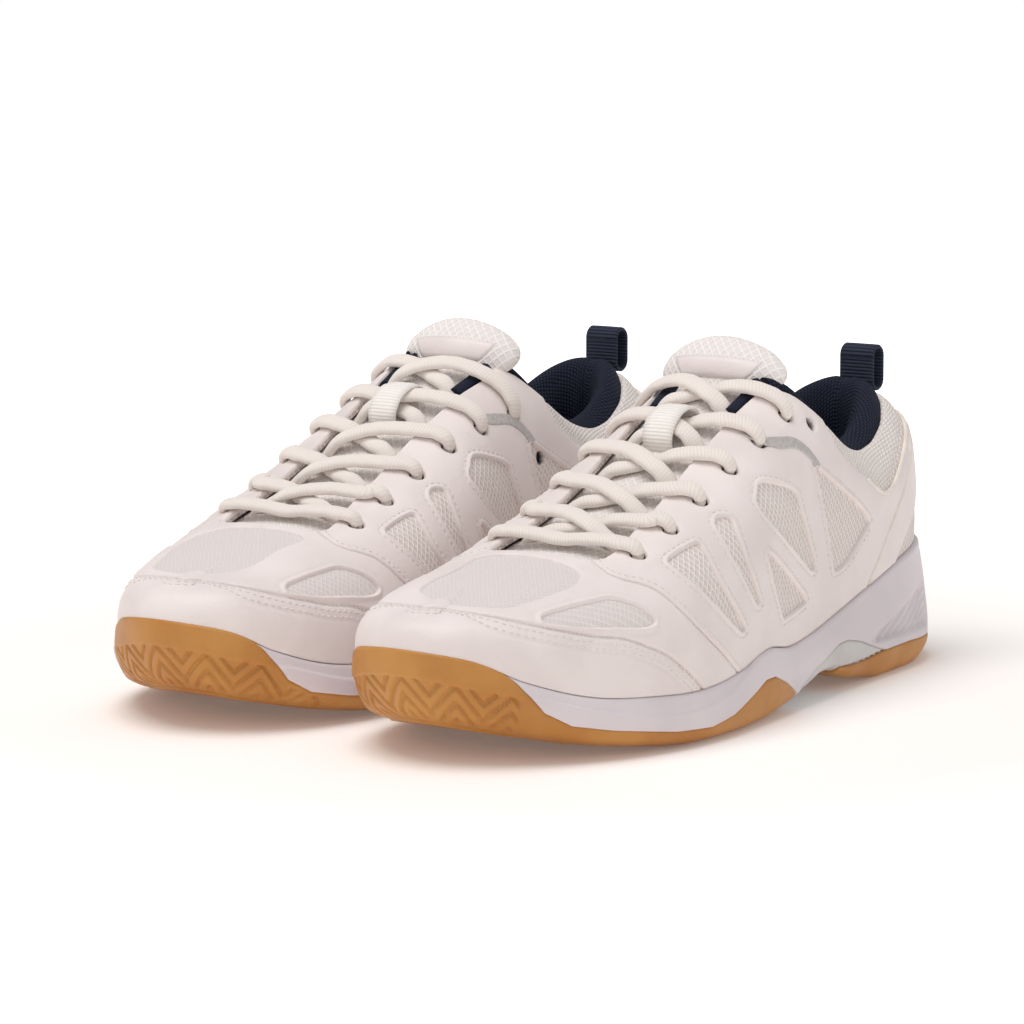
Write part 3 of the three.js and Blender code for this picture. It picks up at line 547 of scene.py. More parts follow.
def place(name, part, material, body, nodes=()):
    """Makes a piece on both shoes from a part in a shoe's own millimetres."""
    vertices, faces, uv = part
    made = []
    for side, mirror in (("left", 1), ("right", -1)):
        world = np.empty_like(vertices)
        world[:, 0] = mirror * (CENTRE_X + vertices[:, 0]) * MM
        world[:, 1] = (MIDDLE - vertices[:, 1]) * MM
        world[:, 2] = vertices[:, 2] * MM
        turned = faces[:, ::-1] if mirror > 0 else faces
        mesh = bpy.data.meshes.new(f"{side}_{name}")
        mesh.vertices.add(len(world))
        mesh.vertices.foreach_set("co", world.astype(np.float32).ravel())
        mesh.loops.add(turned.size)
        mesh.loops.foreach_set("vertex_index", turned.astype(np.int32).ravel())
        mesh.polygons.add(len(turned))
        mesh.polygons.foreach_set("loop_start", np.arange(0, turned.size, 3, dtype=np.int32))
        layer = mesh.uv_layers.new(name="millimetres")
        layer.data.foreach_set("uv", uv[turned.ravel()].astype(np.float32).ravel())
        mesh.update(calc_edges=True)
        mesh.validate()
        mesh.polygons.foreach_set("use_smooth", np.full(len(mesh.polygons), True))
        mesh.materials.append(material)
        obj = bpy.data.objects.new(f"{side}_{name}_skin", mesh)
        bpy.context.collection.objects.link(obj)
        if nodes:
            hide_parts(*(f"{side}_{n}" for n in nodes))
        if isinstance(body, str):
            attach(obj, f"{side}_{body}")
        made.append(obj)
    return made


# ---- Materials ----------------------------------------------------------------------------------
class Look:
    """A material's nodes, built up from a Principled shader."""

    def __init__(self, name, colour, roughness, **inputs):
        self.material = bpy.data.materials.new(name)
        self.material.use_nodes = True
        self.tree = self.material.node_tree
        self.shader = self.tree.nodes["Principled BSDF"]
        self.shader.inputs["Roughness"].default_value = roughness
        self.shader.inputs["Base Color"].default_value = (*colour, 1)
        for key, value in inputs.items():
            self.shader.inputs[key.replace("_", " ")].default_value = value
        self.height = None

    def node(self, kind, **settings):
        node = self.tree.nodes.new(kind)
        for key, value in settings.items():
            if key in node.inputs:
                node.inputs[key].default_value = value
            else:
                setattr(node, key, value)
        return node

    def link(self, a, b):
        self.tree.links.new(a, b)

    def coordinates(self, uv=False):
        return self.node("ShaderNodeTexCoord").outputs["UV" if uv else "Object"]

    def maths(self, operation, a, b=None):
        node = self.node("ShaderNodeMath", operation=operation)
        for socket, value in zip(node.inputs, (a, b)):
            if value is None:
                continue
            if isinstance(value, (int, float)):
                socket.default_value = value
            else:
                self.link(value, socket)
        return node.outputs[0]

    def noise(self, scale, detail=3.0, stretch=None):
        at = self.coordinates()
        if stretch:
            mapping = self.node("ShaderNodeMapping")
            mapping.inputs["Scale"].default_value = stretch
            self.link(at, mapping.inputs["Vector"])
            at = mapping.outputs["Vector"]
        node = self.node("ShaderNodeTexNoise", Scale=scale, Detail=detail)
        self.link(at, node.inputs["Vector"])
        return node.outputs["Fac"]

    def cells(self, scale, feature="F1"):
        node = self.node("ShaderNodeTexVoronoi", Scale=scale)
        node.feature = feature
        self.link(self.coordinates(), node.inputs["Vector"])
        return node.outputs["Distance"]

    def spread(self, value, low, high, to_low=0.0, to_high=1.0):
        node = self.node("ShaderNodeMapRange")
        node.interpolation_type = "SMOOTHSTEP"
        for key, number in (("From Min", low), ("From Max", high), ("To Min", to_low), ("To Max", to_high)):
            node.inputs[key].default_value = number
        self.link(value, node.inputs["Value"])
        return node.outputs["Result"]

    def tint(self, value, low, high, shade, colour):
        """Colours the surface from shade to colour as a value rises from low to high."""
        share = self.spread(value, low, high)
        ramp = self.node("ShaderNodeValToRGB")
        for element, code in zip(ramp.color_ramp.elements, (shade, colour)):
            element.color = (*linear(code), 1)
        self.link(share, ramp.inputs["Fac"])
        self.link(ramp.outputs["Color"], self.shader.inputs["Base Color"])

    def ribs(self, value, rate=math.pi):
        """Round ribs from 0 to 1, one for each half turn of value times rate."""
        return self.maths("ABSOLUTE", self.maths("SINE", self.maths("MULTIPLY", value, rate)))

    def blended(self, a, share_a, b, share_b):
        return self.maths("ADD", self.maths("MULTIPLY", a, share_a), self.maths("MULTIPLY", b, share_b))

    def relief(self, value, distance, strength=1.0):
        """Adds a bump of a height in millimetres."""
        node = self.node("ShaderNodeBump")
        node.inputs["Distance"].default_value = distance * MM
        node.inputs["Strength"].default_value = strength
        self.link(value, node.inputs["Height"])
        if self.height:
            self.link(self.height, node.inputs["Normal"])
        self.height = node.outputs["Normal"]
        self.link(self.height, self.shader.inputs["Normal"])

    def gloss(self, value, low, high):
        self.link(self.spread(value, 0.3, 0.7, low, high), self.shader.inputs["Roughness"])

    def separate(self):
        node = self.node("ShaderNodeSeparateXYZ")
        self.link(self.coordinates(True), node.inputs[0])
        return node.outputs["X"], node.outputs["Y"]


def linear(code):
    """A colour written as six hexadecimal digits, as linear light."""
    parts = [int(code[i:i + 2], 16) / 255 for i in (0, 2, 4)]
    return tuple(c / 12.92 if c <= 0.04045 else ((c + 0.055) / 1.055)**2.4 for c in parts)


def leather():
    look = Look("synthetic_leather", linear("EFE9E7"), 0.5, Specular_IOR_Level=0.35)
    grain = look.cells(900, "SMOOTH_F1")
    cloud = look.noise(45, 3)
    look.tint(cloud, 0.3, 0.7, "E9DEDB", "F1E7E4")
    look.gloss(cloud, 0.44, 0.56)
    look.relief(look.noise(420, 3), 0.16, 0.6)
    look.relief(grain, 0.13, 0.6)
    return look.material


def foam():
    look = Look("midsole_foam", linear("E9E5EC"), 0.48, Specular_IOR_Level=0.35, Subsurface_Weight=0.05,
                Subsurface_Scale=0.002)
    cloud = look.noise(30, 2)
    look.tint(cloud, 0.3, 0.7, "DCD3D7", "E5DCE0")
    look.relief(look.cells(1500, "SMOOTH_F1"), 0.03, 0.5)
    return look.material


def gum():
    look = Look("gum_rubber", linear("C28640"), 0.42, Specular_IOR_Level=0.4, Subsurface_Weight=0.12,
                Subsurface_Scale=0.004)
    look.shader.inputs["Subsurface Radius"].default_value = (1.0, 0.5, 0.15)
    cloud = look.noise(38, 4)
    look.tint(cloud, 0.3, 0.72, "B97B38", "C98F49")
    look.gloss(look.noise(60, 3), 0.36, 0.52)
    look.relief(look.cells(1100, "SMOOTH_F1"), 0.05, 0.5)
    look.relief(look.noise(25, 2), 0.3, 0.3)
    return look.material


def diamonds(look, width, height):
    """Strands crossing at a slant: 1 on a strand and 0 in the hole between four of them."""
    u, v = look.separate()
    across = look.maths("DIVIDE", u, width)
    upwards = look.maths("DIVIDE", v, height)
    strands = []
    for operation in ("ADD", "SUBTRACT"):
        strands.append(look.ribs(look.maths(operation, across, upwards)))
    low = look.maths("MINIMUM", *strands)
    return look.spread(low, 0.15, 0.62, 1.0, 0.0)


def window_mesh(name="window_mesh", width=2.5, height=3.6, hole="DDD0C9", strand="F9F2EF", depth=0.45):
    look = Look(name, linear(strand), 0.75, Specular_IOR_Level=0.25)
    fuzz = look.noise(900, 2)
    net = diamonds(look, width, height)
    mixed = look.blended(net, 0.82, fuzz, 0.3)
    # The holes between the raised strands are coloured darker: partly the backing seen through them, partly
    # painted shade in the dips. The fuzz varies the tone.
    look.tint(mixed, 0.08, 0.85, hole, strand)
    look.relief(net, depth, 0.7)
    look.relief(fuzz, 0.12, 0.4)
    return look.material


def knit(name, colour, shade, period_u, period_v, depth):
    """Small raised cells in rows, each row half a cell on from the last, with painted shade in the gaps
    between them.
    """
    look = Look(name, linear(colour), 0.82, Specular_IOR_Level=0.2)
    u, v = look.separate()
    slant = look.maths("ADD", look.maths("DIVIDE", u, period_u), look.maths("DIVIDE", v, 2 * period_v))
    across = look.ribs(slant)
    up = look.ribs(v, math.pi / period_v)
    cell = look.maths("MULTIPLY", across, up)
    fibres = look.noise(1500, 2)
    mixed = look.blended(cell, 0.85, fibres, 0.25)
    # The gaps between the raised cells are painted darker, as painted shade; the fibres vary the tone.
    look.tint(mixed, 0.1, 0.9, shade, colour)
    look.relief(cell, depth, 0.9)
    look.relief(fibres, 0.15, 0.4)
    return look.material


def woven_lace():
    look = Look("lace_cord", linear("F1ECE4"), 0.8, Specular_IOR_Level=0.2, Sheen_Weight=0.15)
    u, v = look.separate()
    slant = look.maths("ADD", look.maths("MULTIPLY", v, 1 / 1.15), look.maths("MULTIPLY", u, 0.22))
    ribs = look.ribs(slant)
    fibres = look.noise(1400, 3)
    mixed = look.blended(ribs, 0.5, fibres, 0.5)
    # The dips between the ribs are painted darker, as painted shade; the fibres vary the tone.
    look.tint(mixed, 0.1, 0.9, "E6DCD5", "F0E8E1")
    look.relief(ribs, 0.05, 0.35)
    look.relief(fibres, 0.06, 0.4)
    return look.material


def webbing(name, colour, shade, period, depth):
    """Ribs across the webbing, from one end to the other, with painted shade in the dips between them."""
    look = Look(name, linear(colour), 0.7, Specular_IOR_Level=0.3)
    _, v = look.separate()
    ribs = look.ribs(v, math.pi / period)
    fibres = look.noise(1300, 2, stretch=(0.3, 1, 1))
    mixed = look.blended(ribs, 0.7, fibres, 0.3)
    # The dips between the ribs are painted darker, as painted shade; the fibres vary the tone.
    look.tint(mixed, 0.15, 0.85, shade, colour)
    look.relief(ribs, depth, 0.9)
    look.relief(fibres, 0.1, 0.3)
    return look.material


def plain(name, colour, shade, roughness, scale=120, depth=0.08, **inputs):
    look = Look(name, linear(colour), roughness, **inputs)
    cloud = look.noise(scale, 3)
    look.tint(cloud, 0.3, 0.7, shade, colour)
    look.relief(look.noise(scale * 8, 2), depth, 0.5)
    return look.material


LEATHER = leather()
FOAM = foam()
GUM = gum()
# Each mesh's hole colour is darker than its strands: partly the backing, partly painted shade.
WINDOW = window_mesh()
VAMP_MESH = window_mesh("vamp_mesh", 1.7, 2.3, "E0D7D4", "EAE2DF", 0.16)
TONGUE_MESH = window_mesh("tongue_mesh", 3.2, 3.8, "E9E1DD", "F7F2EF", 0.3)
# Each knit's second colour is painted shade, laid in the gaps between its cells.
COLLAR_KNIT = knit("collar_knit", "F5EFEB", "DDD4CE", 2.1, 1.25, 0.35)
NAVY = knit("navy_waffle", "2A3045", "10131F", 1.5, 1.5, 0.35)
NAVY_TAPE = knit("navy_tape", "2C3145", "141826", 0.9, 0.9, 0.2)
LACE = woven_lace()
# Each webbing's second colour is painted shade, laid in the dips between its ribs.
NAVY_WEB = webbing("navy_webbing", "2B3148", "0D101B", 1.25, 0.35)
WHITE_WEB = webbing("white_webbing", "F8F3EE", "EAE3DC", 1.2, 0.14)
SILVER = plain("silver_trim", "CBC6C2", "B9B4B0", 0.35, 900, 0.05, Metallic=0.15)
SHANK = plain("grey_plastic", "CFCDCB", "C2C0BE", 0.35, 60, 0.05, Coat_Weight=0.2)
PIPING = plain("piping", "F1E9E0", "E6DCD1", 0.5, 200, 0.05)
THREAD = plain("thread", "EFE8E4", "E4DCD7", 0.7, 800, 0.05)
BOARD = plain("fibre_board", "D8CDB8", "C9BDA6", 0.9, 300, 0.1)
CLEAR = plain("clear_film", "E8E6E2", "DAD7D2", 0.25, 300, 0.03, Coat_Weight=0.5)


# ---- Fields on the upper -------------------------------------------------------------------------
def smooth_loop(points, steps=6):
    """A closed smooth curve through points."""
    return loop_curve(np.asarray(points, float), np.arange(len(points) * steps) / steps)


def inside_distance(points, polygon):
    """Signed distances of plane points to a polygon's edge, positive inside."""
    polygon = np.asarray(polygon, float)
    points = np.asarray(points, float)
    best = np.full(len(points), 1e9)
    inside = np.zeros(len(points), bool)
    for a, b in zip(polygon, np.roll(polygon, -1, 0)):
        edge = b - a
        length2 = max(float(edge @ edge), 1e-12)
        t = np.clip((points - a) @ edge / length2, 0, 1)
        gap = points - a - t[:, None] * edge
        best = np.minimum(best, (gap * gap).sum(1))
        if a[1] != b[1]:
            crosses = (a[1] > points[:, 1]) != (b[1] > points[:, 1])
            x = a[0] + (points[:, 1] - a[1]) * edge[0] / edge[1]
            inside ^= crosses & (points[:, 0] < x)
    return np.where(inside, 1, -1) * np.sqrt(best)


WINDOWS = [
    [(107.9, 78.6), (101, 75), (91.5, 69.9), (81.2, 64.5), (73.2, 59.3), (70.3, 56.7), (71.5, 55.1),
     (77, 51.5), (88.5, 45), (97.7, 43.2), (99.4, 44.2), (101.9, 50.7), (105, 60.6), (107.6, 70.1),
     (109, 77.5)],
    [(170.8, 66.7), (168.5, 67.8), (165.9, 67.8), (165.2, 66.8), (166.1, 62.5), (166.1, 55.6), (163.5, 48.2),
     (160.8, 42.4), (160.3, 41), (162.2, 40.7), (165.5, 44.3), (170, 50.9), (172.9, 57.5), (172.5, 64.2)],
    [(147.5, 73.9), (144.9, 76.3), (141.5, 77), (135.4, 76), (128.3, 74.1), (125.2, 72.3), (124.6, 70.3),
     (122.9, 63.9), (119.5, 56.1), (115.9, 48.8), (115.9, 46.3), (118.3, 46.2), (123.4, 49.3), (132.6, 55.4),
     (142.2, 62.2), (148.5, 67.6), (150.1, 71.3)],
    [(151.8, 55.5), (149.6, 55), (141.8, 49.9), (131.7, 43), (123.4, 37.1), (123.4, 35.8), (128.7, 34.7),
     (139.6, 32.9), (141.4, 33.4), (145.3, 39.5), (149.7, 47.4), (151.8, 53.7)],
    [(198.6, 56.7), (196.7, 57.5), (189.8, 59.6), (184.2, 60.9), (183.6, 60.2), (184.2, 57.7), (183.9, 50.7),
     (179.3, 43.2), (174.2, 37.1), (171.8, 34.5), (172.3, 33.4), (175.2, 34.1), (182.3, 38.9), (190.8, 45.9),
     (196.3, 51.6), (199.1, 55.5)],
]
LEAF = [
    (254, 44.2), (252, 45.2), (243.6, 46.6), (234.2, 47.7), (228.4, 48), (222.2, 45.9), (218.7, 42.9),
    (218.7, 40.9), (223.1, 40.2), (232, 40.9), (244, 41.9), (249, 42.7), (253.5, 43.4),
]
VAMP_WINDOW = [
    (-20, 249), (-18.5, 237), (-19, 224), (-8, 221.5), (5, 222), (16, 224), (22, 227), (24, 233), (23, 240),
    (19, 253), (15, 260), (7.6, 264), (-2.6, 263.5), (-12.5, 260.6), (-18.7, 256.6),
]
QUARTER = [
    (170, 15), (175.6, 19.9), (185.2, 26.9), (194, 33), (200.9, 38.5), (206.2, 43.7), (209.9, 47.8),
    (212.2, 50.1), (215.5, 51.6), (218.5, 52.6), (219.7, 54), (218, 55.9), (214.5, 58), (213, 70),
    (213, 200), (-60, 200), (-60, -60), (165, -60), (167, 8),
]
TOE_SEAM = [
    (190, 4), (197, 16), (202, 21.1), (208.9, 26.2), (215.9, 31), (223, 34.2), (231.6, 37.4), (240.9, 38.8),
    (251, 41.2), (260, 43.4), (267.4, 45.4), (271, 46.6),
]
PIPING_A = [
    (2, 90), (10, 88), (19, 84), (29, 78.1), (36, 73), (43.5, 68), (50, 65), (56, 64.5), (62, 66.7),
    (71, 71.8), (81, 77), (88.7, 82.7), (92.4, 88.7), (93.5, 95), (94.5, 120),
]
PIPING_B = [
    (2, 87), (10, 85), (19, 81.5), (27.2, 76.5), (31.5, 70.5), (37.6, 64.5), (45.8, 57.1), (54.8, 48.8),
    (61.8, 41.7), (72, 31.5), (84, 14),
]
LINE_C = [
    (2, 77), (10, 72), (17, 65.5), (24.3, 56.6), (32.7, 50), (39.6, 44.5), (45.1, 39.1), (54, 27), (64, 10),
]
STRIP = [
    (136, 91.5), (130.4, 90.1), (124, 90), (117.4, 89.6), (113.1, 87.5), (108.7, 83.6), (106.1, 79.9),
    (108, 78.6), (110.3, 79.5), (111.6, 81.7), (116, 85), (120, 86.2), (127, 86.3), (133.1, 88.5),
]
AROUND, UP = 660, 118
THROAT_CORNER = 4.0
FAR = 60.0  # stands for "nowhere near" in a field of distances


def base_patch():
    """The whole upper as one fine patch, closed across the instep's ridge."""
    u = np.arange(AROUND) / AROUND
    h = np.linspace(0.004, 1, UP + 1)
    grid = last_surface(u[:, None], h[None])
    n = normals(grid)
    n[:, -1] = instep_normal(grid[:, -1, 1])
    ends = smooth(0.93, 1.0, h)[None, :, None]
    n = unit(n * (1 - ends) + n[:, -1:] * ends)
    step = np.linalg.norm(np.diff(grid[:, :60].mean(1), axis=0, append=grid[:1, :60].mean(1)), axis=-1)
    arc = np.concatenate([[0], step.cumsum()[:-1]])
    arc = np.minimum(arc, step.sum() - arc)
    rise = np.linalg.norm(np.diff(grid, axis=1, prepend=grid[:, :1]), axis=-1).cumsum(1)
    index = np.arange(AROUND * (UP + 1)).reshape(AROUND, UP + 1)
    twin = np.minimum(np.arange(AROUND), (AROUND - np.arange(AROUND)) % AROUND)
    index[:, -1] = index[twin, -1]
    a, b = index[:, :-1], np.roll(index, -1, 0)[:, :-1]
    c, d = np.roll(index, -1, 0)[:, 1:], index[:, 1:]
    triangles = halves(a.ravel(), b.ravel(), c.ravel(), d.ravel())
    proper = (triangles[:, 0] != triangles[:, 1]) & (triangles[:, 1] != triangles[:, 2])
    triangles = triangles[proper & (triangles[:, 0] != triangles[:, 2])]
    side = np.where(u < 0.5, 1, -1)[:, None] * np.minimum(arc, arc.max() - arc)[:, None]
    return Patch(triangles, {
        "p": grid.reshape(-1, 3),
        "n": n.reshape(-1, 3),
        "uv": np.stack([np.broadcast_to(arc[:, None], rise.shape), rise], -1).reshape(-1, 2),
        "side": np.broadcast_to(side, rise.shape).reshape(-1),
    })


def on_surface_scale(patch, name):
    """Rescales a field so that near its zero it measures millimetres on the surface."""
    p, t = patch.get("p"), patch.triangles
    f = patch.get(name)
    e1, e2 = p[t[:, 1]] - p[t[:, 0]], p[t[:, 2]] - p[t[:, 0]]
    d1, d2 = f[t[:, 1]] - f[t[:, 0]], f[t[:, 2]] - f[t[:, 0]]
    g11, g12, g22 = (e1 * e1).sum(1), (e1 * e2).sum(1), (e2 * e2).sum(1)
    det = np.maximum(g11 * g22 - g12**2, 1e-9)
    square = (d1 * d1 * g22 - 2 * d1 * d2 * g12 + d2 * d2 * g11) / det
    size = np.sqrt(np.maximum(square, 0))
    total, weight = np.zeros(len(p)), np.zeros(len(p))
    area = np.sqrt(det)
    for k in range(3):
        np.add.at(total, t[:, k], size * area)
        np.add.at(weight, t[:, k], area)
    patch.set(name, f / np.clip(total / np.maximum(weight, 1e-9), 0.3, 3))


EYELET_ROWS, EYELET_PITCH, FIRST_EYELET = 6, 18, 204
EYELET_OFFSET = 28
SPARE_EYELET = (31.5, 103)


def eyelet_at(row):
    return FIRST_EYELET - row * EYELET_PITCH


def eyelet_points():
    holes = [(EYELET_OFFSET, eyelet_at(row)) for row in range(EYELET_ROWS)] + [SPARE_EYELET]
    return on_instep([(side * offset, s, 0) for side in (1, -1) for offset, s in holes])


def upper_fields():
    """The upper with its distances to every seam, window and hole, positive inside."""
    patch = base_patch()
    own_columns = len(patch.columns)
    p = patch.get("p")
    x, s, z = p.T
    side_view = p[:, [1, 2]]
    collar = np.where(s < COLLAR_END, along(COLLAR_LINE, s) - z, 99)
    half = along(THROAT_HALF_WIDTH, s)
    across = np.abs(x - along(INSTEP_X, s)) - half
    front = s - THROAT_END
    a, b = across + THROAT_CORNER, front + THROAT_CORNER
    rounded = np.hypot(np.maximum(a, 0), np.maximum(b, 0)) - THROAT_CORNER
    throat = np.where((a > 0) & (b > 0), rounded, np.maximum(across, front))
    throat = np.where(s > THROAT_START, throat, 99)
    patch.add("open", np.clip(np.minimum(collar, throat), -FAR, FAR))
    patch.add("toe", np.where(s < 185, -40, along(TOE_SEAM, s) - z))
    patch.add("quarter", inside_distance(side_view, QUARTER))
    windows = [inside_distance(side_view, smooth_loop(window)) for window in WINDOWS]
    patch.add("windows", np.maximum(np.maximum.reduce(windows), -FAR))
    patch.add("leaf", inside_distance(side_view, smooth_loop(LEAF)))
    plan = inside_distance(p[:, :2], smooth_loop(VAMP_WINDOW))
    patch.add("vamp", np.where(z > 38, plan, -FAR))
    patch.add("piping_a", np.where(s < 94, z - along(PIPING_A, s), -30))
    patch.add("piping_b", np.where(s < 84, z - along(PIPING_B, s), 30))
    patch.add("line_c", np.where(s < 64, along(LINE_C, s) - z, -30))
    patch.add("strip", inside_distance(side_view, smooth_loop(STRIP)))
    for name in list(patch.columns)[own_columns:]:
        on_surface_scale(patch, name)
    near = [np.linalg.norm(p - point, axis=1) for point in eyelet_points()]
    patch.add("eyelet", np.minimum(np.minimum.reduce(near), FAR))
    return patch


EDGE_STEPS = (0.12, 0.35, 0.75, 1.3)


def rounded_edge(distance, radius=0.9):
    t = np.clip(distance / radius, 0, 1)
    return np.sqrt(np.maximum(1 - (1 - t)**2, 0))


MESH_TOP = 1.6
LEATHER_WALL = 1.5
LEATHER_EDGE = 0.25  # how far a panel's edge stands above the mesh
LEATHER_FACE = MESH_TOP + LEATHER_WALL


def leather_panel(fields, name, bounds, raised=None):
    """Places a leather panel where every bound is positive, with soft edges and raised rims."""
    patch = fields.copy()
    for bound in bounds:
        patch.keep(bound)
    for bound in bounds:
        patch.cut(bound, *EDGE_STEPS)
    edge = np.minimum.reduce([patch.get(bound) for bound in bounds])
    top = MESH_TOP + LEATHER_EDGE + (LEATHER_WALL - LEATHER_EDGE) * rounded_edge(edge)
    if raised is not None:
        top = top + raised(patch)
    patch.add("top", top)
    place(name, solid(patch), LEATHER, "shoe", [name])
    return patch


def contour(patch, name, level):
    """The polylines along which a value has a level, as (points, normals) with the panel's top height."""
    patch = patch.copy()
    patch.cut(name, level)
    patch.tidy()
    on = np.abs(patch.get(name) - level) < 1e-4
    edges = edges_of(patch.triangles)
    edges = edges[on[edges].all(1)]
    edges = np.unique(np.sort(edges, axis=1), axis=0)
    links = {}
    for a, b in edges:
        links.setdefault(int(a), []).append(int(b))
        links.setdefault(int(b), []).append(int(a))
    lines = []
    seen = set()
    for start in [k for k, v in links.items() if len(v) == 1] + list(links):
        if start in seen:
            continue
        line, here = [start], start
        seen.add(start)
        while True:
            following = [k for k in links[here] if k not in seen]
            if not following:
                break
            here = following[0]
            seen.add(here)
            line.append(here)
        if len(line) > 4:
            if line[0] in links[line[-1]] and len(line) > 8:
                line.append(line[0])
            lines.append(line)
    p = patch.get("p") + patch.get("n") * patch.get("top")[:, None]
    return [(p[line], patch.get("n")[line]) for line in lines]


STITCH_LENGTH, STITCH_GAP, STITCH_RADIUS = 1.7, 0.8, 0.27
STITCH_SINK = 0.14
# Each stitch: how far along it, how high above the leather, and how thick.
STITCH_SHAPE = [(0, -0.3, 0.4), (0.12, 0.12, 0.9), (0.5, 0.28, 1), (0.88, 0.12, 0.9), (1, -0.3, 0.4)]


def stitches(lines):
    """Short raised threads along lines on the surface."""
    share, height, thickness = np.array(STITCH_SHAPE).T
    section = ellipse(2 * STITCH_RADIUS, 1.7 * STITCH_RADIUS, 6)
    parts = []
    for points, up in lines:
        length = travelled(points)
        for i in range(int(length[-1] / (STITCH_LENGTH + STITCH_GAP))):
            at = (i + 0.15) * (STITCH_LENGTH + STITCH_GAP) + STITCH_LENGTH * share
            normal = at_lengths(at, length, up)
            path = at_lengths(at, length, points) + normal * (height - STITCH_SINK)[:, None]
            across = np.cross(np.gradient(path, axis=0), normal)
            parts.append(tube(path, across, section[None] * thickness[:, None, None]))
    return joined(parts)


def seam_strip(fields, name):
    """The strip of the surface round a seam, at the height of the leather's face."""
    strip = fields.copy()
    strip.add("band", 3 - np.abs(strip.get(name)))
    strip.add("clear", strip.get("uv")[:, 1] - 1.5)
    strip.keep("band").keep("clear")
    if name == "piping_a":
        strip.trim("rear", 68 - strip.get("p")[:, 1])
    strip.add("top", np.full(len(strip.data), LEATHER_FACE - 0.35))
    return strip


def piping(lines):
    parts = []
    for points, up in lines:
        if len(points) < 12:
            continue
        path = resampled(points[::3], 1.0)
        near = np.argmin(np.linalg.norm(path[:, None] - points[None], axis=2), axis=1)
        across = np.cross(np.gradient(path, axis=0), up[near])
        parts.append(tube(path, across, ellipse(1.7, 1.5, 12)))
    return joined(parts)


def window_rim(patch):
    outside = -np.maximum(patch.get("windows"), patch.get("leaf"))
    rim = bump(outside, 0.9, 1.0) * 0.42
    groove = -bump(outside, 2.5, 0.7) * 0.22
    return rim + groove


def quarter_relief(patch):
    dimple = -0.7 * bump(patch.get("eyelet"), 0, 5.5)
    front = -bump(patch.get("quarter"), 2.6, 0.6) * 0.25
    return window_rim(patch) + dimple + front


def toe_relief(patch):
    distance = patch.get("toe")
    return -0.5 * (1 - smooth(0, 0.9, distance)) - 0.22 * bump(distance, 4.4, 0.9)


# ---- Pieces of the upper --------------------------------------------------------------------------
EYELET_RADIUS = 2.5
MESH_SPLIT_S = 212  # the vamp's mesh lies ahead of this, the sides' behind it
MESH_MARGIN = 2.5  # how far the sides' mesh runs on under the collar's


def solid(patch, base=None):
    patch.tidy()
    return shell(patch, patch.get("top"), MESH_TOP - 0.15 if base is None else base)


def make_upper():
    """The leather panels, strips, piping and stitches. Returns the upper's fields."""
    fields = upper_fields()
    fields.add("not_toe", -fields.get("toe") - 0.35)
    fields.add("not_quarter", -fields.get("quarter") - 0.15)
    outside = {"no_window": "windows", "no_leaf": "leaf", "no_vamp": "vamp", "below_a": "piping_a"}
    for new, name in outside.items():
        fields.add(new, -fields.get(name))
    fields.add("lateral", fields.get("side"))
    fields.add("medial", -fields.get("side"))
    fields.add("hole", fields.get("eyelet") - EYELET_RADIUS)
    fields.add("behind_b", -fields.get("piping_b") - 0.1)
    fields.add("not_c", -fields.get("line_c"))
    toe = leather_panel(fields, "toe_cap", ["toe"], toe_relief)
    thread = contour(toe, "toe", 1.7) + contour(toe, "toe", 3.5)
    bounds = ["not_toe", "not_quarter", "no_leaf", "no_vamp", "open"]
    leather_panel(fields, "vamp_overlay", bounds, window_rim)
    for side in ("lateral", "medial"):
        bounds = [side, "quarter", "no_window", "below_a", "piping_b", "open", "hole"]
        panel = leather_panel(fields, f"{side}_quarter", bounds, quarter_relief)
        thread += contour(panel, "no_window", 2.5) + contour(panel, "quarter", 1.9)
        strip = fields.copy().keep(side).keep("strip").cut("strip", 0.3, 0.8)
        strip.add("top", LEATHER_FACE + 0.35 * rounded_edge(strip.get("strip"), 0.6))
        name = f"{side}_strip"
        place(name, solid(strip, LEATHER_FACE - 0.2), SILVER, "shoe", [name])
    leather_panel(fields, "heel_overlay", ["behind_b", "not_c"])
    pipes = contour(seam_strip(fields, "piping_b"), "piping_b", 0.1)
    pipes += contour(seam_strip(fields, "piping_a"), "piping_a", -0.2)
    place("piping", piping(pipes), PIPING, "shoe")
    place("upper_seams", stitches(thread), THREAD, "shoe")
    return fields


def place_mesh(name, patch, height, look):
    patch.add("top", height)
    place(name, solid(patch, 0.0), look, "shoe", ["mesh_upper"])


def make_mesh_layer(fields):
    """The mesh shell that shows in the windows, on the vamp and round the collar."""
    body = fields.copy().keep("open", 0.7).keep("hole", 0.3)
    body.add("front", body.get("p")[:, 1] - MESH_SPLIT_S)
    front = body.copy().keep("front")
    front.set("uv", front.get("p")[:, :2])
    swell = 0.35 * smooth(0, 5, front.get("vamp"))
    place_mesh("vamp_mesh", front, MESH_TOP + 0.75 + swell, VAMP_MESH)
    back = body.copy().drop("front")
    back.trim("low", MESH_MARGIN - back.get("piping_a"))
    swell = 0.25 * smooth(0, 6, back.get("windows"))
    place_mesh("side_mesh", back, MESH_TOP + 0.6 + swell, WINDOW)
    collar = fields.copy().keep("open")
    collar.trim("above", collar.get("piping_a") - 0.1)
    collar.cut("open", 0.3, 0.8, 1.5)
    collar.cut("above", 0.3, 0.9, 1.8)
    padded_top = MESH_TOP + 0.3 + 0.9 * smooth(0, 5, collar.get("above"))
    top = padded_top * rounded_edge(collar.get("open") + 0.25, 1.6)
    place_mesh("collar_knit", collar, np.maximum(top, 0.2), COLLAR_KNIT)
    low = fields.copy()
    low.add("behind_c", low.get("line_c") - 0.1)
    low.add("near_heel", 66 - low.get("p")[:, 1])
    low.keep("behind_c").keep("near_heel")
    place_mesh("heel_mesh", low, MESH_TOP + 0.55 * smooth(0, 3, low.get("behind_c")), COLLAR_KNIT)


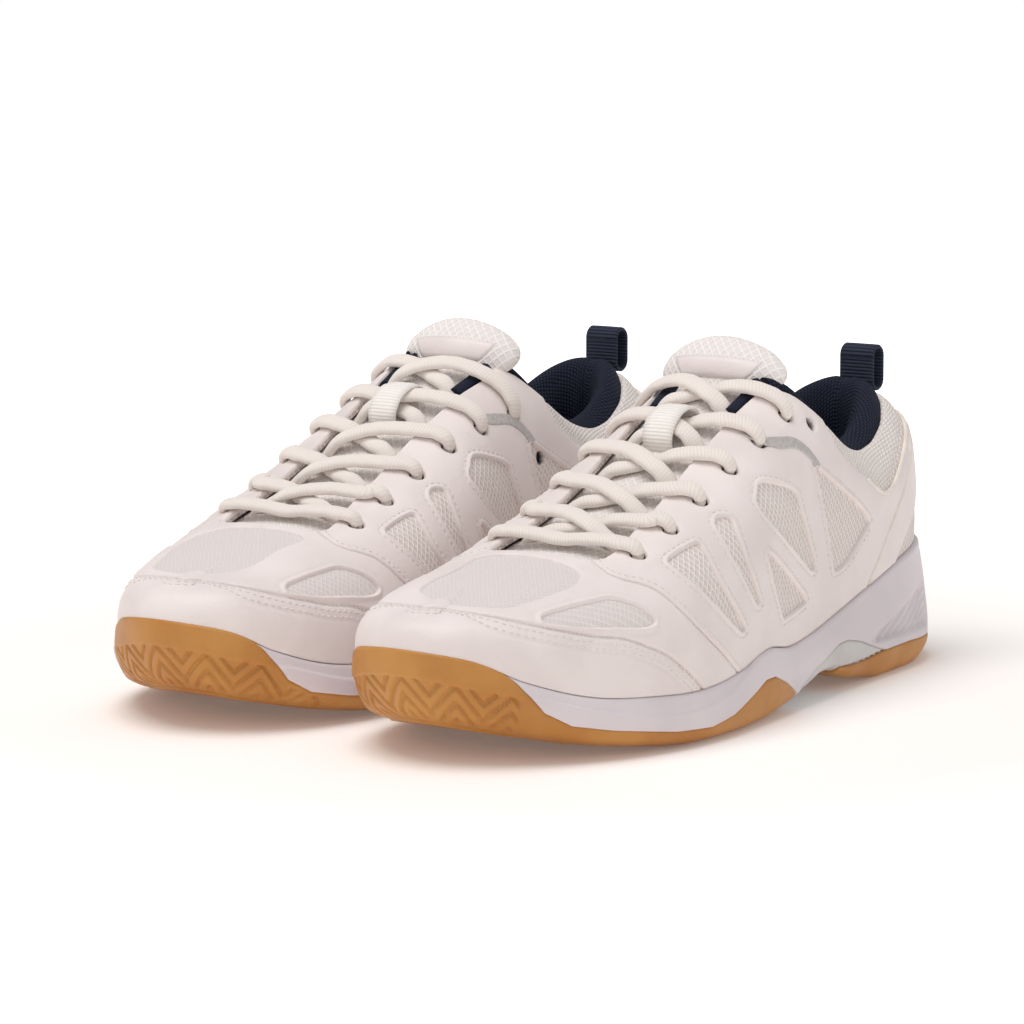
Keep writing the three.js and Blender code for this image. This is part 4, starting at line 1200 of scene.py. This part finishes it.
# ---- Collar, lining, footbed ----------------------------------------------------------------------
def collar_edge(u):
    """Where the collar's line meets the surface, and its outward direction."""
    h = np.linspace(0.2, 1, 260)
    grid = last_surface(u[:, None], h[None])
    above = grid[..., 2] - along(COLLAR_LINE, grid[..., 1])
    first = np.maximum((above > 0).argmax(1), 1)
    row = np.arange(len(u))
    low, high = above[row, first - 1], above[row, first]
    t = (-low / (high - low))[:, None]
    point = grid[row, first - 1] * (1 - t) + grid[row, first] * t
    out = np.concatenate([outline(u) - grid[:, -1, :2], np.zeros((len(u), 1))], 1)
    return point, unit(out)


COLLAR_FRONT_S = 111
COLLAR_STEP = 1.2
SECTION = [
    (1.2, -3.2), (1.0, -1.2), (0.3, 0.8), (-1.6, 2.5), (-4.4, 3.6), (-7.4, 2.9), (-9.4, 0.6), (-10.6, -4),
    (-11.0, -10), (-10.6, -17), (-9.4, -24), (-7.6, -30), (-5.4, -35), (-3.6, -38), (-2.6, -30), (-2.4, -20),
    (-2.2, -10), (-1.2, -5),
]


def smoothed(values, rounds):
    for _ in range(rounds):
        values[1:-1] = (values[:-2] + values[1:-1] + values[2:]) / 3
    return values


def make_collar():
    """The padded collar: a section of the roll, carried along the collar's line from front to front."""
    point, out = collar_edge(np.linspace(-0.36, 0.36, 900) % 1)
    keep = point[:, 1] < COLLAR_FRONT_S
    point, out = point[keep], out[keep]
    length = travelled(point)
    heel = length[np.argmin(point[:, 1])]
    at = np.linspace(0, length[-1], int(length[-1] / COLLAR_STEP))
    point = at_lengths(at, length, point)
    out = unit(smoothed(at_lengths(at, length, out), 6))
    from_heel = np.abs(at - heel)
    full = 1 - smooth(86, 104, point[:, 1])
    width = 0.36 + 0.64 * full
    depth = 0.3 + 0.7 * full
    section = smooth_loop(SECTION, 3)
    rings = []
    for i in range(len(at)):
        inward, rise = -section[:, 0], section[:, 1]
        # Pads swell the inside beside the heel, and the middle of the heel is drawn in.
        pad = bump(rise, -12, 16) * (3.2 * bump(from_heel[i], 34, 26) - 1.2 * bump(from_heel[i], 0, 7))
        inward = inward * width[i] + np.where(inward > 5, pad, 0) * full[i]
        tall = 1 + 0.7 * (1 - smooth(38, 62, point[i, 1]))
        rise = np.where(rise < 0, rise * depth[i], rise * (0.6 + 0.4 * full[i]) * tall)
        rise = rise + 2.8 * (1 - full[i]) + 0.9
        crease = 0.9 * bump(from_heel[i], 0, 5) * (section[:, 1] > 0)
        ring = point[i] - out[i] * inward[:, None]
        ring[:, 2] += rise - crease
        rings.append(ring)
    collar = outward(loft(rings))
    place("collar_padding", collar, NAVY, "shoe", ["collar_padding"])


LINING_TOP, LINING_BASE = -0.15, -1.3


def make_lining(fields):
    """The textile that lines the back of the shoe, from below the collar to the footbed."""
    patch = fields.copy().keep("open", 4.0)
    patch.trim("back", 106 - patch.get("p")[:, 1])
    patch.trim("deep", patch.get("uv")[:, 1] - 1)
    patch.add("top", np.full(len(patch.data), LINING_TOP))
    place("lining", solid(patch, LINING_BASE), NAVY_TAPE, "shoe", ["heel_counter"])


FOOTBED = [(0, 19), (60, 18), (100, 16.5), (150, 10.5), (200, 8), (230, 10.5), (260, 17), (290, 27)]
FOOTBED_INSET = 5.8
# The sockliner's rings: the share of the way out from the middle, and the height above its board.
SOCKLINER_RINGS = [
    (0.02, 4), (0.3, 4), (0.6, 4.1), (0.85, 4.6), (0.95, 5.6), (0.985, 5.4), (0.985, 0.4), (0.9, 0.2),
    (0.4, 0.2), (0.02, 0.2),
]


def make_sockliner():
    """The cushioned footbed, with a raised rim, on a fibre board."""
    u = np.arange(220) / 220
    centre = ring_centre(u)
    edge = outline(u) - ring_normals(outline(u), centre) * FOOTBED_INSET
    rings = []
    for share, lift in SOCKLINER_RINGS:
        xy = centre + (edge - centre) * share
        z = along(FOOTBED, xy[:, 1]) + 1.8 + lift
        rings.append(np.column_stack([xy, z]))
    place("sockliner", outward(loft(rings)), NAVY_TAPE, "shoe", ["sockliner"])


def ring_centre(u):
    return (outline(u) + outline(1 - u)) / 2


def side_normals(tangent):
    """Directions square to those of a plane curve."""
    return unit(np.column_stack([tangent[:, 1], -tangent[:, 0]]))


def ring_normals(ring, centre):
    """The outward normals of a closed plane curve."""
    normal = side_normals(np.roll(ring, -1, 0) - np.roll(ring, 1, 0))
    return normal * np.sign(((ring - centre) * normal).sum(1).mean())


# ---- Sole -----------------------------------------------------------------------------------------
SOLE_BOTTOM = [
    (-8, 6), (5, 3.2), (18, 0.8), (28, 0), (62, 0), (86, 3.5), (100, 8), (112, 8), (124, 5), (139, 2.5),
    (155, 0.5), (170, 0), (205, 0), (215, 0.8), (230, 2.5), (247, 5.2), (263, 9), (278, 13.5), (292, 19),
]
WALL_LEVELS = [0, 0.15, 0.6, 1]
WALL_FLARE = [
    [(0, 4.5), (80, 3), (180, 2), (240, -2), (284, -8)],
    [(0, 8), (80, 5.5), (180, 5.5), (240, 3), (284, -2)],
    [(0, 6.2), (80, 5.8), (180, 6), (240, 5), (284, 3)],
    [(0, 3.6), (80, 3.6), (180, 3.8), (240, 3.8), (284, 3.6)],
]
FOREFOOT_GUM = [
    (132, -9), (134, 6.5), (143, 11.5), (152, 15), (160, 15), (171, 11.5), (184, 7.5), (197, 5.5),
    (215, 6.5), (240, 10), (253, 12.7), (261, 17.5), (267, 25.5), (273, 34.5), (277, 48.5), (320, 48.5),
    (320, -9),
]
HEEL_GUM = [(-30, -9), (-30, 8), (12, 8.8), (40, 10.1), (61, 9.9), (77, 8.5), (96, 8.5), (100, -9)]
SHANK_LINE = [
    (61.5, 10.2), (66, 11.5), (80, 16), (91, 18.1), (99, 17.8), (110, 14.3), (120, 11.8), (130, 7.5),
    (131.5, -9), (100, -9), (96, 8.5), (77, 8.5), (61, 9.9),
]


TREAD_RADIUS, RIM_RADIUS = 2.2, 1.3
TREAD_SHARES = (0.004, 0.2, 0.4, 0.6, 0.75, 0.86, 0.93, 0.975)
RIM_DISTANCES = (1.6, 2.6, 4.4, 6.0)


def rounding(distance, radius):
    """How far a rounded edge draws a wall in, at a distance below or above the edge."""
    return radius - np.sqrt(np.maximum(radius**2 - np.maximum(radius - distance, 0)**2, 0))


def sole_patch():
    """The sole's wall, from the middle of its tread over its side to the rim round the upper."""
    count = 900
    u = np.arange(count) / count
    foot = outline(u)
    normal = side_normals(outline(u + 1e-4) - outline(u - 1e-4))
    normal *= np.sign(((foot - ring_centre(u)) * normal).sum(1).mean())
    s = foot[:, 1]
    rings = []
    levels = np.concatenate([np.linspace(0, 0.12, 8), np.linspace(0.15, 0.9, 44), np.linspace(0.92, 1, 9)])
    for w in levels:
        xy = foot + normal * flare(w, s)[:, None]
        bottom = straight(SOLE_BOTTOM, xy[:, 1])
        top = along(BOND_LINE, s)
        z = bottom + (top - bottom) * w
        drawn_in = rounding(z - bottom, TREAD_RADIUS) + rounding(top - z, RIM_RADIUS)
        xy = xy - normal * drawn_in[:, None]
        rings.append(np.column_stack([xy, z]))
    rings = np.stack(rings, 1)
    under = []
    edge = rings[:, 0, :2]
    middle = (edge + edge[(count - np.arange(count)) % count]) / 2
    for share in TREAD_SHARES:
        xy = middle + (edge - middle) * share
        under.append(np.column_stack([xy, straight(SOLE_BOTTOM, xy[:, 1])]))
    over = []
    for distance in RIM_DISTANCES:
        xy = rings[:, -1, :2] - normal * distance
        over.append(np.column_stack([xy, along(BOND_LINE, s) + 0.1]))
    grid = np.concatenate([np.stack(under, 1), rings, np.stack(over, 1)], 1)
    n = normals(grid)
    arc = np.linalg.norm(np.diff(foot, axis=0, append=foot[:1]), axis=1).cumsum()
    height = grid[..., 2]
    rows = grid.shape[1]
    index = np.arange(count * rows).reshape(count, rows)
    a, b = index[:, :-1].ravel(), np.roll(index, -1, 0)[:, :-1].ravel()
    c, d = np.roll(index, -1, 0)[:, 1:].ravel(), index[:, 1:].ravel()
    triangles = halves(a, b, c, d)
    wall = np.zeros((count, rows))
    wall[:, len(under):] = 1
    patch = Patch(triangles, {
        "p": grid.reshape(-1, 3),
        "n": n.reshape(-1, 3),
        "uv": np.stack([np.broadcast_to(arc[:, None], height.shape), height], -1).reshape(-1, 2),
        "wall": wall.reshape(-1),
        "arc": np.broadcast_to((arc - arc[count // 2])[:, None], height.shape).reshape(-1),
    })
    side_view = patch.get("p")[:, [1, 2]]
    for name, line in (("gum_front", FOREFOOT_GUM), ("gum_heel", HEEL_GUM), ("shank", SHANK_LINE)):
        patch.add(name, inside_distance(side_view, line))
    return patch


def straight(knots, position):
    knots = np.asarray(knots, float)
    return np.interp(position, knots[:, 0], knots[:, 1])


def flare(w, s):
    values = np.stack([straight(line, s) for line in WALL_FLARE], 1)
    return np.array([along(np.stack([WALL_LEVELS, row], 1), w) for row in values])


ZIGZAG_PERIOD, ZIGZAG_HEIGHT, RIB_PITCH = 17.0, 9.5, 5.2
RIB_DEPTH, LEDGE_DEPTH = 0.9, 0.35


def tread_relief(patch):
    """Zig-zag ribs low on the toe's wall."""
    arc, p = patch.get("arc"), patch.get("p")
    bottom = straight(SOLE_BOTTOM, p[:, 1])
    height = p[:, 2] - bottom
    reach = np.where(arc < 0, -arc / 37, arc / 58)
    band = smooth(0.6, 1.4, height) * (1 - smooth(11.6, 12.2, height)) * (1 - smooth(0.96, 1, reach))
    band = band * patch.get("wall") * smooth(1.2, 2.6, patch.get("gum_front"))
    zigzag = np.abs(((arc / ZIGZAG_PERIOD) % 1) - 0.5) * 2 * ZIGZAG_HEIGHT
    lines = np.abs((((height - zigzag) / RIB_PITCH) % 1) - 0.5) * RIB_PITCH
    groove = 1 - smooth(0.55, 1.15, lines)
    ledge = LEDGE_DEPTH * (1 - smooth(11.8, 12.6, height)) * (1 - smooth(1, 1.1, reach)) * patch.get("wall")
    ledge = ledge * smooth(0.8, 2.0, patch.get("gum_front"))
    return -RIB_DEPTH * groove * band - ledge


STEP_LINE = [(160, 23), (175, 17.5), (197, 12.5), (215, 12), (240, 15.5), (262, 22)]


def midsole_relief(patch):
    """Fine slanting flutes on both sides of the heel and a step along the forefoot."""
    p = patch.get("p")
    s, z = p[:, 1], p[:, 2]
    share = np.clip((s - 10) / 62, 0, 1)
    low, high = 11.5 + 1.0 * share, 33 - 17 * share
    inside = smooth(0, 2.5, z - low) * smooth(0, 2.0, high - z)
    inside = inside * smooth(14, 22, s) * (1 - smooth(62, 76, s))
    slant = z * 0.9 + s * 0.42
    flutes = np.abs(((slant / 3.1) % 1) - 0.5) * 2
    step = 0.7 * smooth(-0.6, 0.6, along(STEP_LINE, s) - z) * smooth(150, 168, s)
    return (-1.5 * inside - flutes * inside + step) * patch.get("wall")


INLAY_BASE, MIDSOLE_BASE = -3.0, -5.5
SUNK_UNDER_GUM = -2.4


def make_sole():
    """The two gum outsoles and the shank plate, set into the midsole."""
    base = sole_patch()
    gap = 0.12
    for name, field in (("outsole_forefoot", "gum_front"), ("outsole_heel", "gum_heel")):
        gum_patch = base.copy().keep(field, gap)
        gum_patch.cut(field, gap + 0.2, gap + 0.6, gap + 1.2)
        top = -0.45 + 0.65 * rounded_edge(gum_patch.get(field) - gap, 1.0)
        if field == "gum_front":
            top = top + tread_relief(gum_patch)
        gum_patch.add("top", top)
        place(name, solid(gum_patch, INLAY_BASE), GUM, "shoe", [name])
    shank_patch = base.copy().keep("shank", gap)
    shank_patch.cut("shank", gap + 0.3, gap + 0.8)
    shank_patch.add("top", -1.1 + 0.7 * rounded_edge(shank_patch.get("shank") - gap, 1.0))
    place("shank_plate", solid(shank_patch, INLAY_BASE), SHANK, "shoe", ["shank_plate"])
    base.add("rest", -np.maximum.reduce([base.get(name) for name in ("gum_front", "gum_heel", "shank")]))
    base.keep("rest", -1.5)
    base.cut("rest", 0.0, 0.5)
    sunk = SUNK_UNDER_GUM * (1 - smooth(-0.6, 0.1, base.get("rest")))
    base.add("top", midsole_relief(base) + sunk)
    place("midsole", solid(base, MIDSOLE_BASE), FOAM, "shoe", ["midsole"])


# ---- Tongue ---------------------------------------------------------------------------------------
HINGE_S, HINGE_Z = 112.5, 106.0
TIP_S, TIP_Z = 102.5, 122.0
TONGUE_TOP_WIDTH, TONGUE_TOP_THICKNESS = 50, 8
TONGUE_CURL = 5.0
# The padded end's sections: the share of the way from the tip to the hinge, the width, the thickness.
TONGUE_PROFILE = [
    (1.0, 0.8, 0.5), (0.9, 0.9, 0.6), (0.8, 0.96, 0.75), (0.7, 0.99, 0.9), (0.6, 1.0, 1), (0.5, 0.98, 1.03),
    (0.4, 0.94, 1.04), (0.3, 0.86, 1.0), (0.2, 0.75, 0.92), (0.12, 0.62, 0.8), (0.06, 0.48, 0.64),
    (0.02, 0.32, 0.45), (0.0, 0.16, 0.25),
]
PATCH_REACH = 0.72


def tongue_body(shares):
    rings = []
    for s in np.linspace(226, 117, 46):
        half = float(along(THROAT_HALF_WIDTH, min(s, 209))) + 3.0
        half -= 5.5 * float(1 - smooth(117, 134, s))
        thin = 1 - np.abs(shares)**3
        top = np.column_stack([shares * half, shares * 0 + s, -0.5 - 0.8 * shares**2])
        bottom = np.column_stack([shares * half, shares * 0 + s, -1.6 - 2.6 * thin])
        rings.append(np.vstack([top, bottom[::-1]]))
    shape = np.array(rings)
    return list(on_instep(shape.reshape(-1, 3)).reshape(shape.shape))


def flap_ring(x, share, front, back):
    """A closed ring across the padded end, between two depths in front of its middle plane."""
    tip, hinge = np.array([TIP_S, TIP_Z]), np.array([HINGE_S, HINGE_Z])
    down = unit(hinge - tip)
    forward = np.array([-down[1], down[0]])
    centre = tip + (hinge - tip) * share
    sides = [np.column_stack([x, centre + forward * depth[:, None]]) for depth in (front, back)]
    return np.vstack([sides[0], sides[1][::-1]])


def tongue_top(shares):
    rings = []
    for share, width, thickness in TONGUE_PROFILE:
        half = thickness * TONGUE_TOP_THICKNESS / 2
        curl = TONGUE_CURL * width * shares**2
        thin = half * np.sqrt(np.maximum(1 - shares**4, 0.02))
        rings.append(flap_ring(shares * (width * TONGUE_TOP_WIDTH / 2), share, thin - curl, -thin - curl))
    return rings


def tongue_patch():
    """A plain raised patch on the front of the padded end."""
    rings = []
    for share, width, thickness in TONGUE_PROFILE[1:6]:
        across = np.linspace(-PATCH_REACH, PATCH_REACH, 25) * (1.3 - 0.62 * share)
        curl = TONGUE_CURL * width * across**2
        face = thickness * 4 * np.sqrt(1 - across**4) - curl
        rim = 0.15 * rounded_edge((PATCH_REACH - np.abs(across)) * 20, 0.8)
        rings.append(flap_ring(across * width * 25, share, face + 0.05 + rim, face - 0.4))
    return outward(loft(rings))


def make_tongue():
    """The tongue from under the vamp to its padded end, crossing the bend at the top of the throat."""
    place("tongue_patch", tongue_patch(), LEATHER, "tongue_flap")
    shares = np.linspace(-1, 1, 31)
    rings = tongue_body(shares) + tongue_top(shares)
    points, faces, _ = outward(loft(rings))
    middle = np.array(rings)[:, 15]
    climb = np.linalg.norm(np.diff(middle, axis=0, prepend=middle[:1]), axis=1).cumsum()
    climb = np.concatenate([np.repeat(climb, len(shares) * 2), climb[:1], climb[-1:]])
    tongue = (points, faces, np.column_stack([points[:, 0], climb]))
    nodes = ["tongue_body", "tongue_top"]
    pieces = place("tongue", tongue, TONGUE_MESH, None, nodes)
    for side, obj in zip(("left", "right"), pieces):
        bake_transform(obj)


def make_bindings():
    """The navy tape along the upper end of the throat."""
    for side, name in ((1, "lateral"), (-1, "medial")):
        rings = []
        for s in np.linspace(108.5, 128, 20):
            edge = float(along(THROAT_HALF_WIDTH, s))
            outer, inner = edge - 0.2, edge - 4.6
            section = [(outer, -0.6), (outer, 1.2), (outer - 0.8, 2.2), ((outer + inner) / 2, 2.7),
                       (inner + 0.7, 2.1), (inner, 1.0), (inner, -0.3), ((outer + inner) / 2, -0.9)]
            rings.append(on_instep([(side * o, s, d) for o, d in section]))
        node = f"{name}_throat_binding"
        place(node, outward(loft(rings)), NAVY_TAPE, "shoe", [node])


# ---- Laces ----------------------------------------------------------------------------------------
LACE_RADIUS = 2.1
OVER, UNDER = 4.9, -3.9
LOW_CROSSING = 1.5
HIGH_CROSSING = 5.0
TUCKED_OFFSET, TUCKED_LENGTH = 33.5, 46
KEEPER_ROW = 3
KEEPER_HALF_WIDTH, KEEPER_REACH = 5.6, 8.2


def through_eyelet(side, row):
    """The lace's way down through an eyelet: offset from the side, s and depth."""
    steps = [(4.8, OVER + 0.2, 0.6), (1.6, OVER, 0), (0.1, OVER - 1.6, 0), (0, 1.8, 0), (0.1, -1, 0),
             (0.7, UNDER + 0.3, 0)]
    return [(side * (EYELET_OFFSET - o), eyelet_at(row) + f, d) for o, d, f in steps]


def crossing(side, row, high):
    """The lace's way from under one row's eyelet over to the next row's on the other side."""
    s, following = eyelet_at(row), eyelet_at(row + 1)
    edge = float(along(THROAT_HALF_WIDTH, s))
    depth = HIGH_CROSSING if high else LOW_CROSSING
    points = [
        (side * (EYELET_OFFSET - 5), s - 0.8, UNDER),
        (side * (edge - 0.5), s - 2, UNDER),
        (side * (edge - LACE_RADIUS - 1.5), s - 3.6, -0.8),
        (side * 9.6, s - 5.4, 2.6 if high else LOW_CROSSING),
        (side * 5.4, s - 6.6, depth - 0.6 if high else depth),
        (0, (s + following) / 2, depth),
        (-side * 5.4, following + 6.6, depth - 0.2 if high else depth),
        (-side * 10.4, following + 5.2, depth - 0.2 if high else 3.4),
        (-side * (edge + 0.5), following + 3, OVER),
    ]
    return points + through_eyelet(-side, row + 1)


def lace_half(first):
    """Half of the lace, from the middle of the lowest row to its tucked end."""
    s = eyelet_at(0)
    edge = float(along(THROAT_HALF_WIDTH, s))
    points = [(first * 9, s + 1.5, LOW_CROSSING + 2.2), (first * (edge - 4), s + 1.5, OVER),
              (first * (edge + 1.5), s + 1, OVER + 0.3)]
    points += through_eyelet(first, 0)
    side = first
    for row in range(EYELET_ROWS - 1):
        points += crossing(side, row, (row % 2 == 0) == (first > 0))
        side = -side
    top = eyelet_at(EYELET_ROWS - 1)
    points.append((side * (EYELET_OFFSET + 2.6), top + 2.4, UNDER))
    points += [(side * TUCKED_OFFSET, top + share * TUCKED_LENGTH, UNDER) for share in (0.2, 0.45, 0.7, 1)]
    return points


def lace_fullness(path, holes):
    """1 where the lace lies free and 0 where a hole narrows it."""
    gap = np.min(np.linalg.norm(path[:, None] - holes[None], axis=2), axis=1)
    return smooth(1.5, 7.5, gap)


def make_laces():
    route = lace_half(-1)[::-1] + [(0, eyelet_at(0) + 1.5, LOW_CROSSING + 1)] + lace_half(1)
    points = on_instep(route)
    lift = on_instep([(offset, s, depth + 1) for offset, s, depth in route]) - points
    path = resampled(points, 0.9)
    nearest = np.argmin(np.linalg.norm(path[:, None] - points[None], axis=2), axis=1)
    across = np.cross(np.gradient(path, axis=0), smoothed(lift[nearest], 10))
    full = lace_fullness(path, eyelet_points())
    steps = np.arange(len(path))
    ripple = 1 + 0.03 * np.sin(steps * 0.9) + 0.02 * np.sin(steps * 0.37)
    width = (4.0 + 2.4 * full) * ripple
    height = 3.7 - 0.2 * full
    shape = ellipse(2, 2, 18, 2.3)
    section = shape[None] * np.stack([width, height], 1)[:, None] / 2
    place("lace", tube(path, across, section), LACE, "shoe", ["lace"])


def make_keeper():
    """The webbing on the tongue that holds the laces, arched over the crossing."""
    centre = eyelet_at(KEEPER_ROW + 0.5)
    rise = HIGH_CROSSING + 1.75 + 0.9
    half = KEEPER_HALF_WIDTH
    section = [(-half, 1.0), (-half * 0.5, 1.5), (half * 0.5, 1.5), (half, 1.0), (half, 0.2),
               (half * 0.5, 0), (-half * 0.5, 0), (-half, 0.2)]
    rings = []
    for turn in np.linspace(0, math.pi, 25):
        level, up = math.cos(turn), math.sin(turn)
        rings.append(on_instep([
            (x, centre - (KEEPER_REACH + wall) * level, -0.4 + (rise + wall) * up) for x, wall in section
        ]))
    place("lace_keeper", outward(loft(rings)), WHITE_WEB, "shoe", ["lace_keeper"])


LOOP_RADIUS, LOOP_WALL = 4.3, 1.6
LOOP_SECTION = [(-7.0, 0.3), (-6.5, 0.75), (-3.5, 0.8), (3.5, 0.8), (6.5, 0.75), (7.0, 0.3), (7.0, -0.3),
                (6.5, -0.75), (0, -0.8), (-6.5, -0.75), (-7.0, -0.3)]


def make_loop():
    """The pull loop: a folded ribbon of ribbed webbing, open from side to side."""
    low, high = LOOP_LOW[2] - 3.5, LOOP_HIGH[2] + 1
    bend = LOOP_RADIUS - LOOP_WALL / 2
    path = []
    for centre, half_turns in ((high - LOOP_RADIUS, 0), (low + LOOP_RADIUS, 1)):
        for k in np.linspace(0, 1, 15):
            angle = math.pi * (half_turns + k)
            path.append((LOOP_S + bend * math.cos(angle), centre + bend * math.sin(angle)))
    path = np.array(path)
    fine = []
    for a, b in zip(path, np.roll(path, -1, 0)):
        steps = max(1, int(np.linalg.norm(b - a) / 0.8))
        fine += [a + (b - a) * k / steps for k in range(steps)]
    path = np.array(fine)
    normal = side_normals(np.roll(path, -1, 0) - np.roll(path, 1, 0))
    rings = [[(x, *(point + outwards * lift)) for x, lift in LOOP_SECTION]
             for point, outwards in zip(path, normal)]
    pieces = place("heel_pull_loop", outward(loft(rings, closed=True)), NAVY_WEB, None,
                   ["heel_pull_loop"])
    for side, obj in zip(("left", "right"), pieces):
        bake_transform(obj)


def dress_hidden_parts():
    """Materials for the CAD nodes that stay as they are."""
    looks = {"insole_board": BOARD, "toe_puff": BOARD, "lateral_aglet": CLEAR, "medial_aglet": CLEAR}
    for side in ("left", "right"):
        for node, material in looks.items():
            for material_slot in bpy.data.objects[f"{side}_{node}"].material_slots:
                material_slot.material = material


make_sole()
upper = make_upper()
make_mesh_layer(upper)
make_lining(upper)
make_collar()
make_sockliner()
make_tongue()
make_bindings()
make_laces()
make_keeper()
make_loop()
dress_hidden_parts()
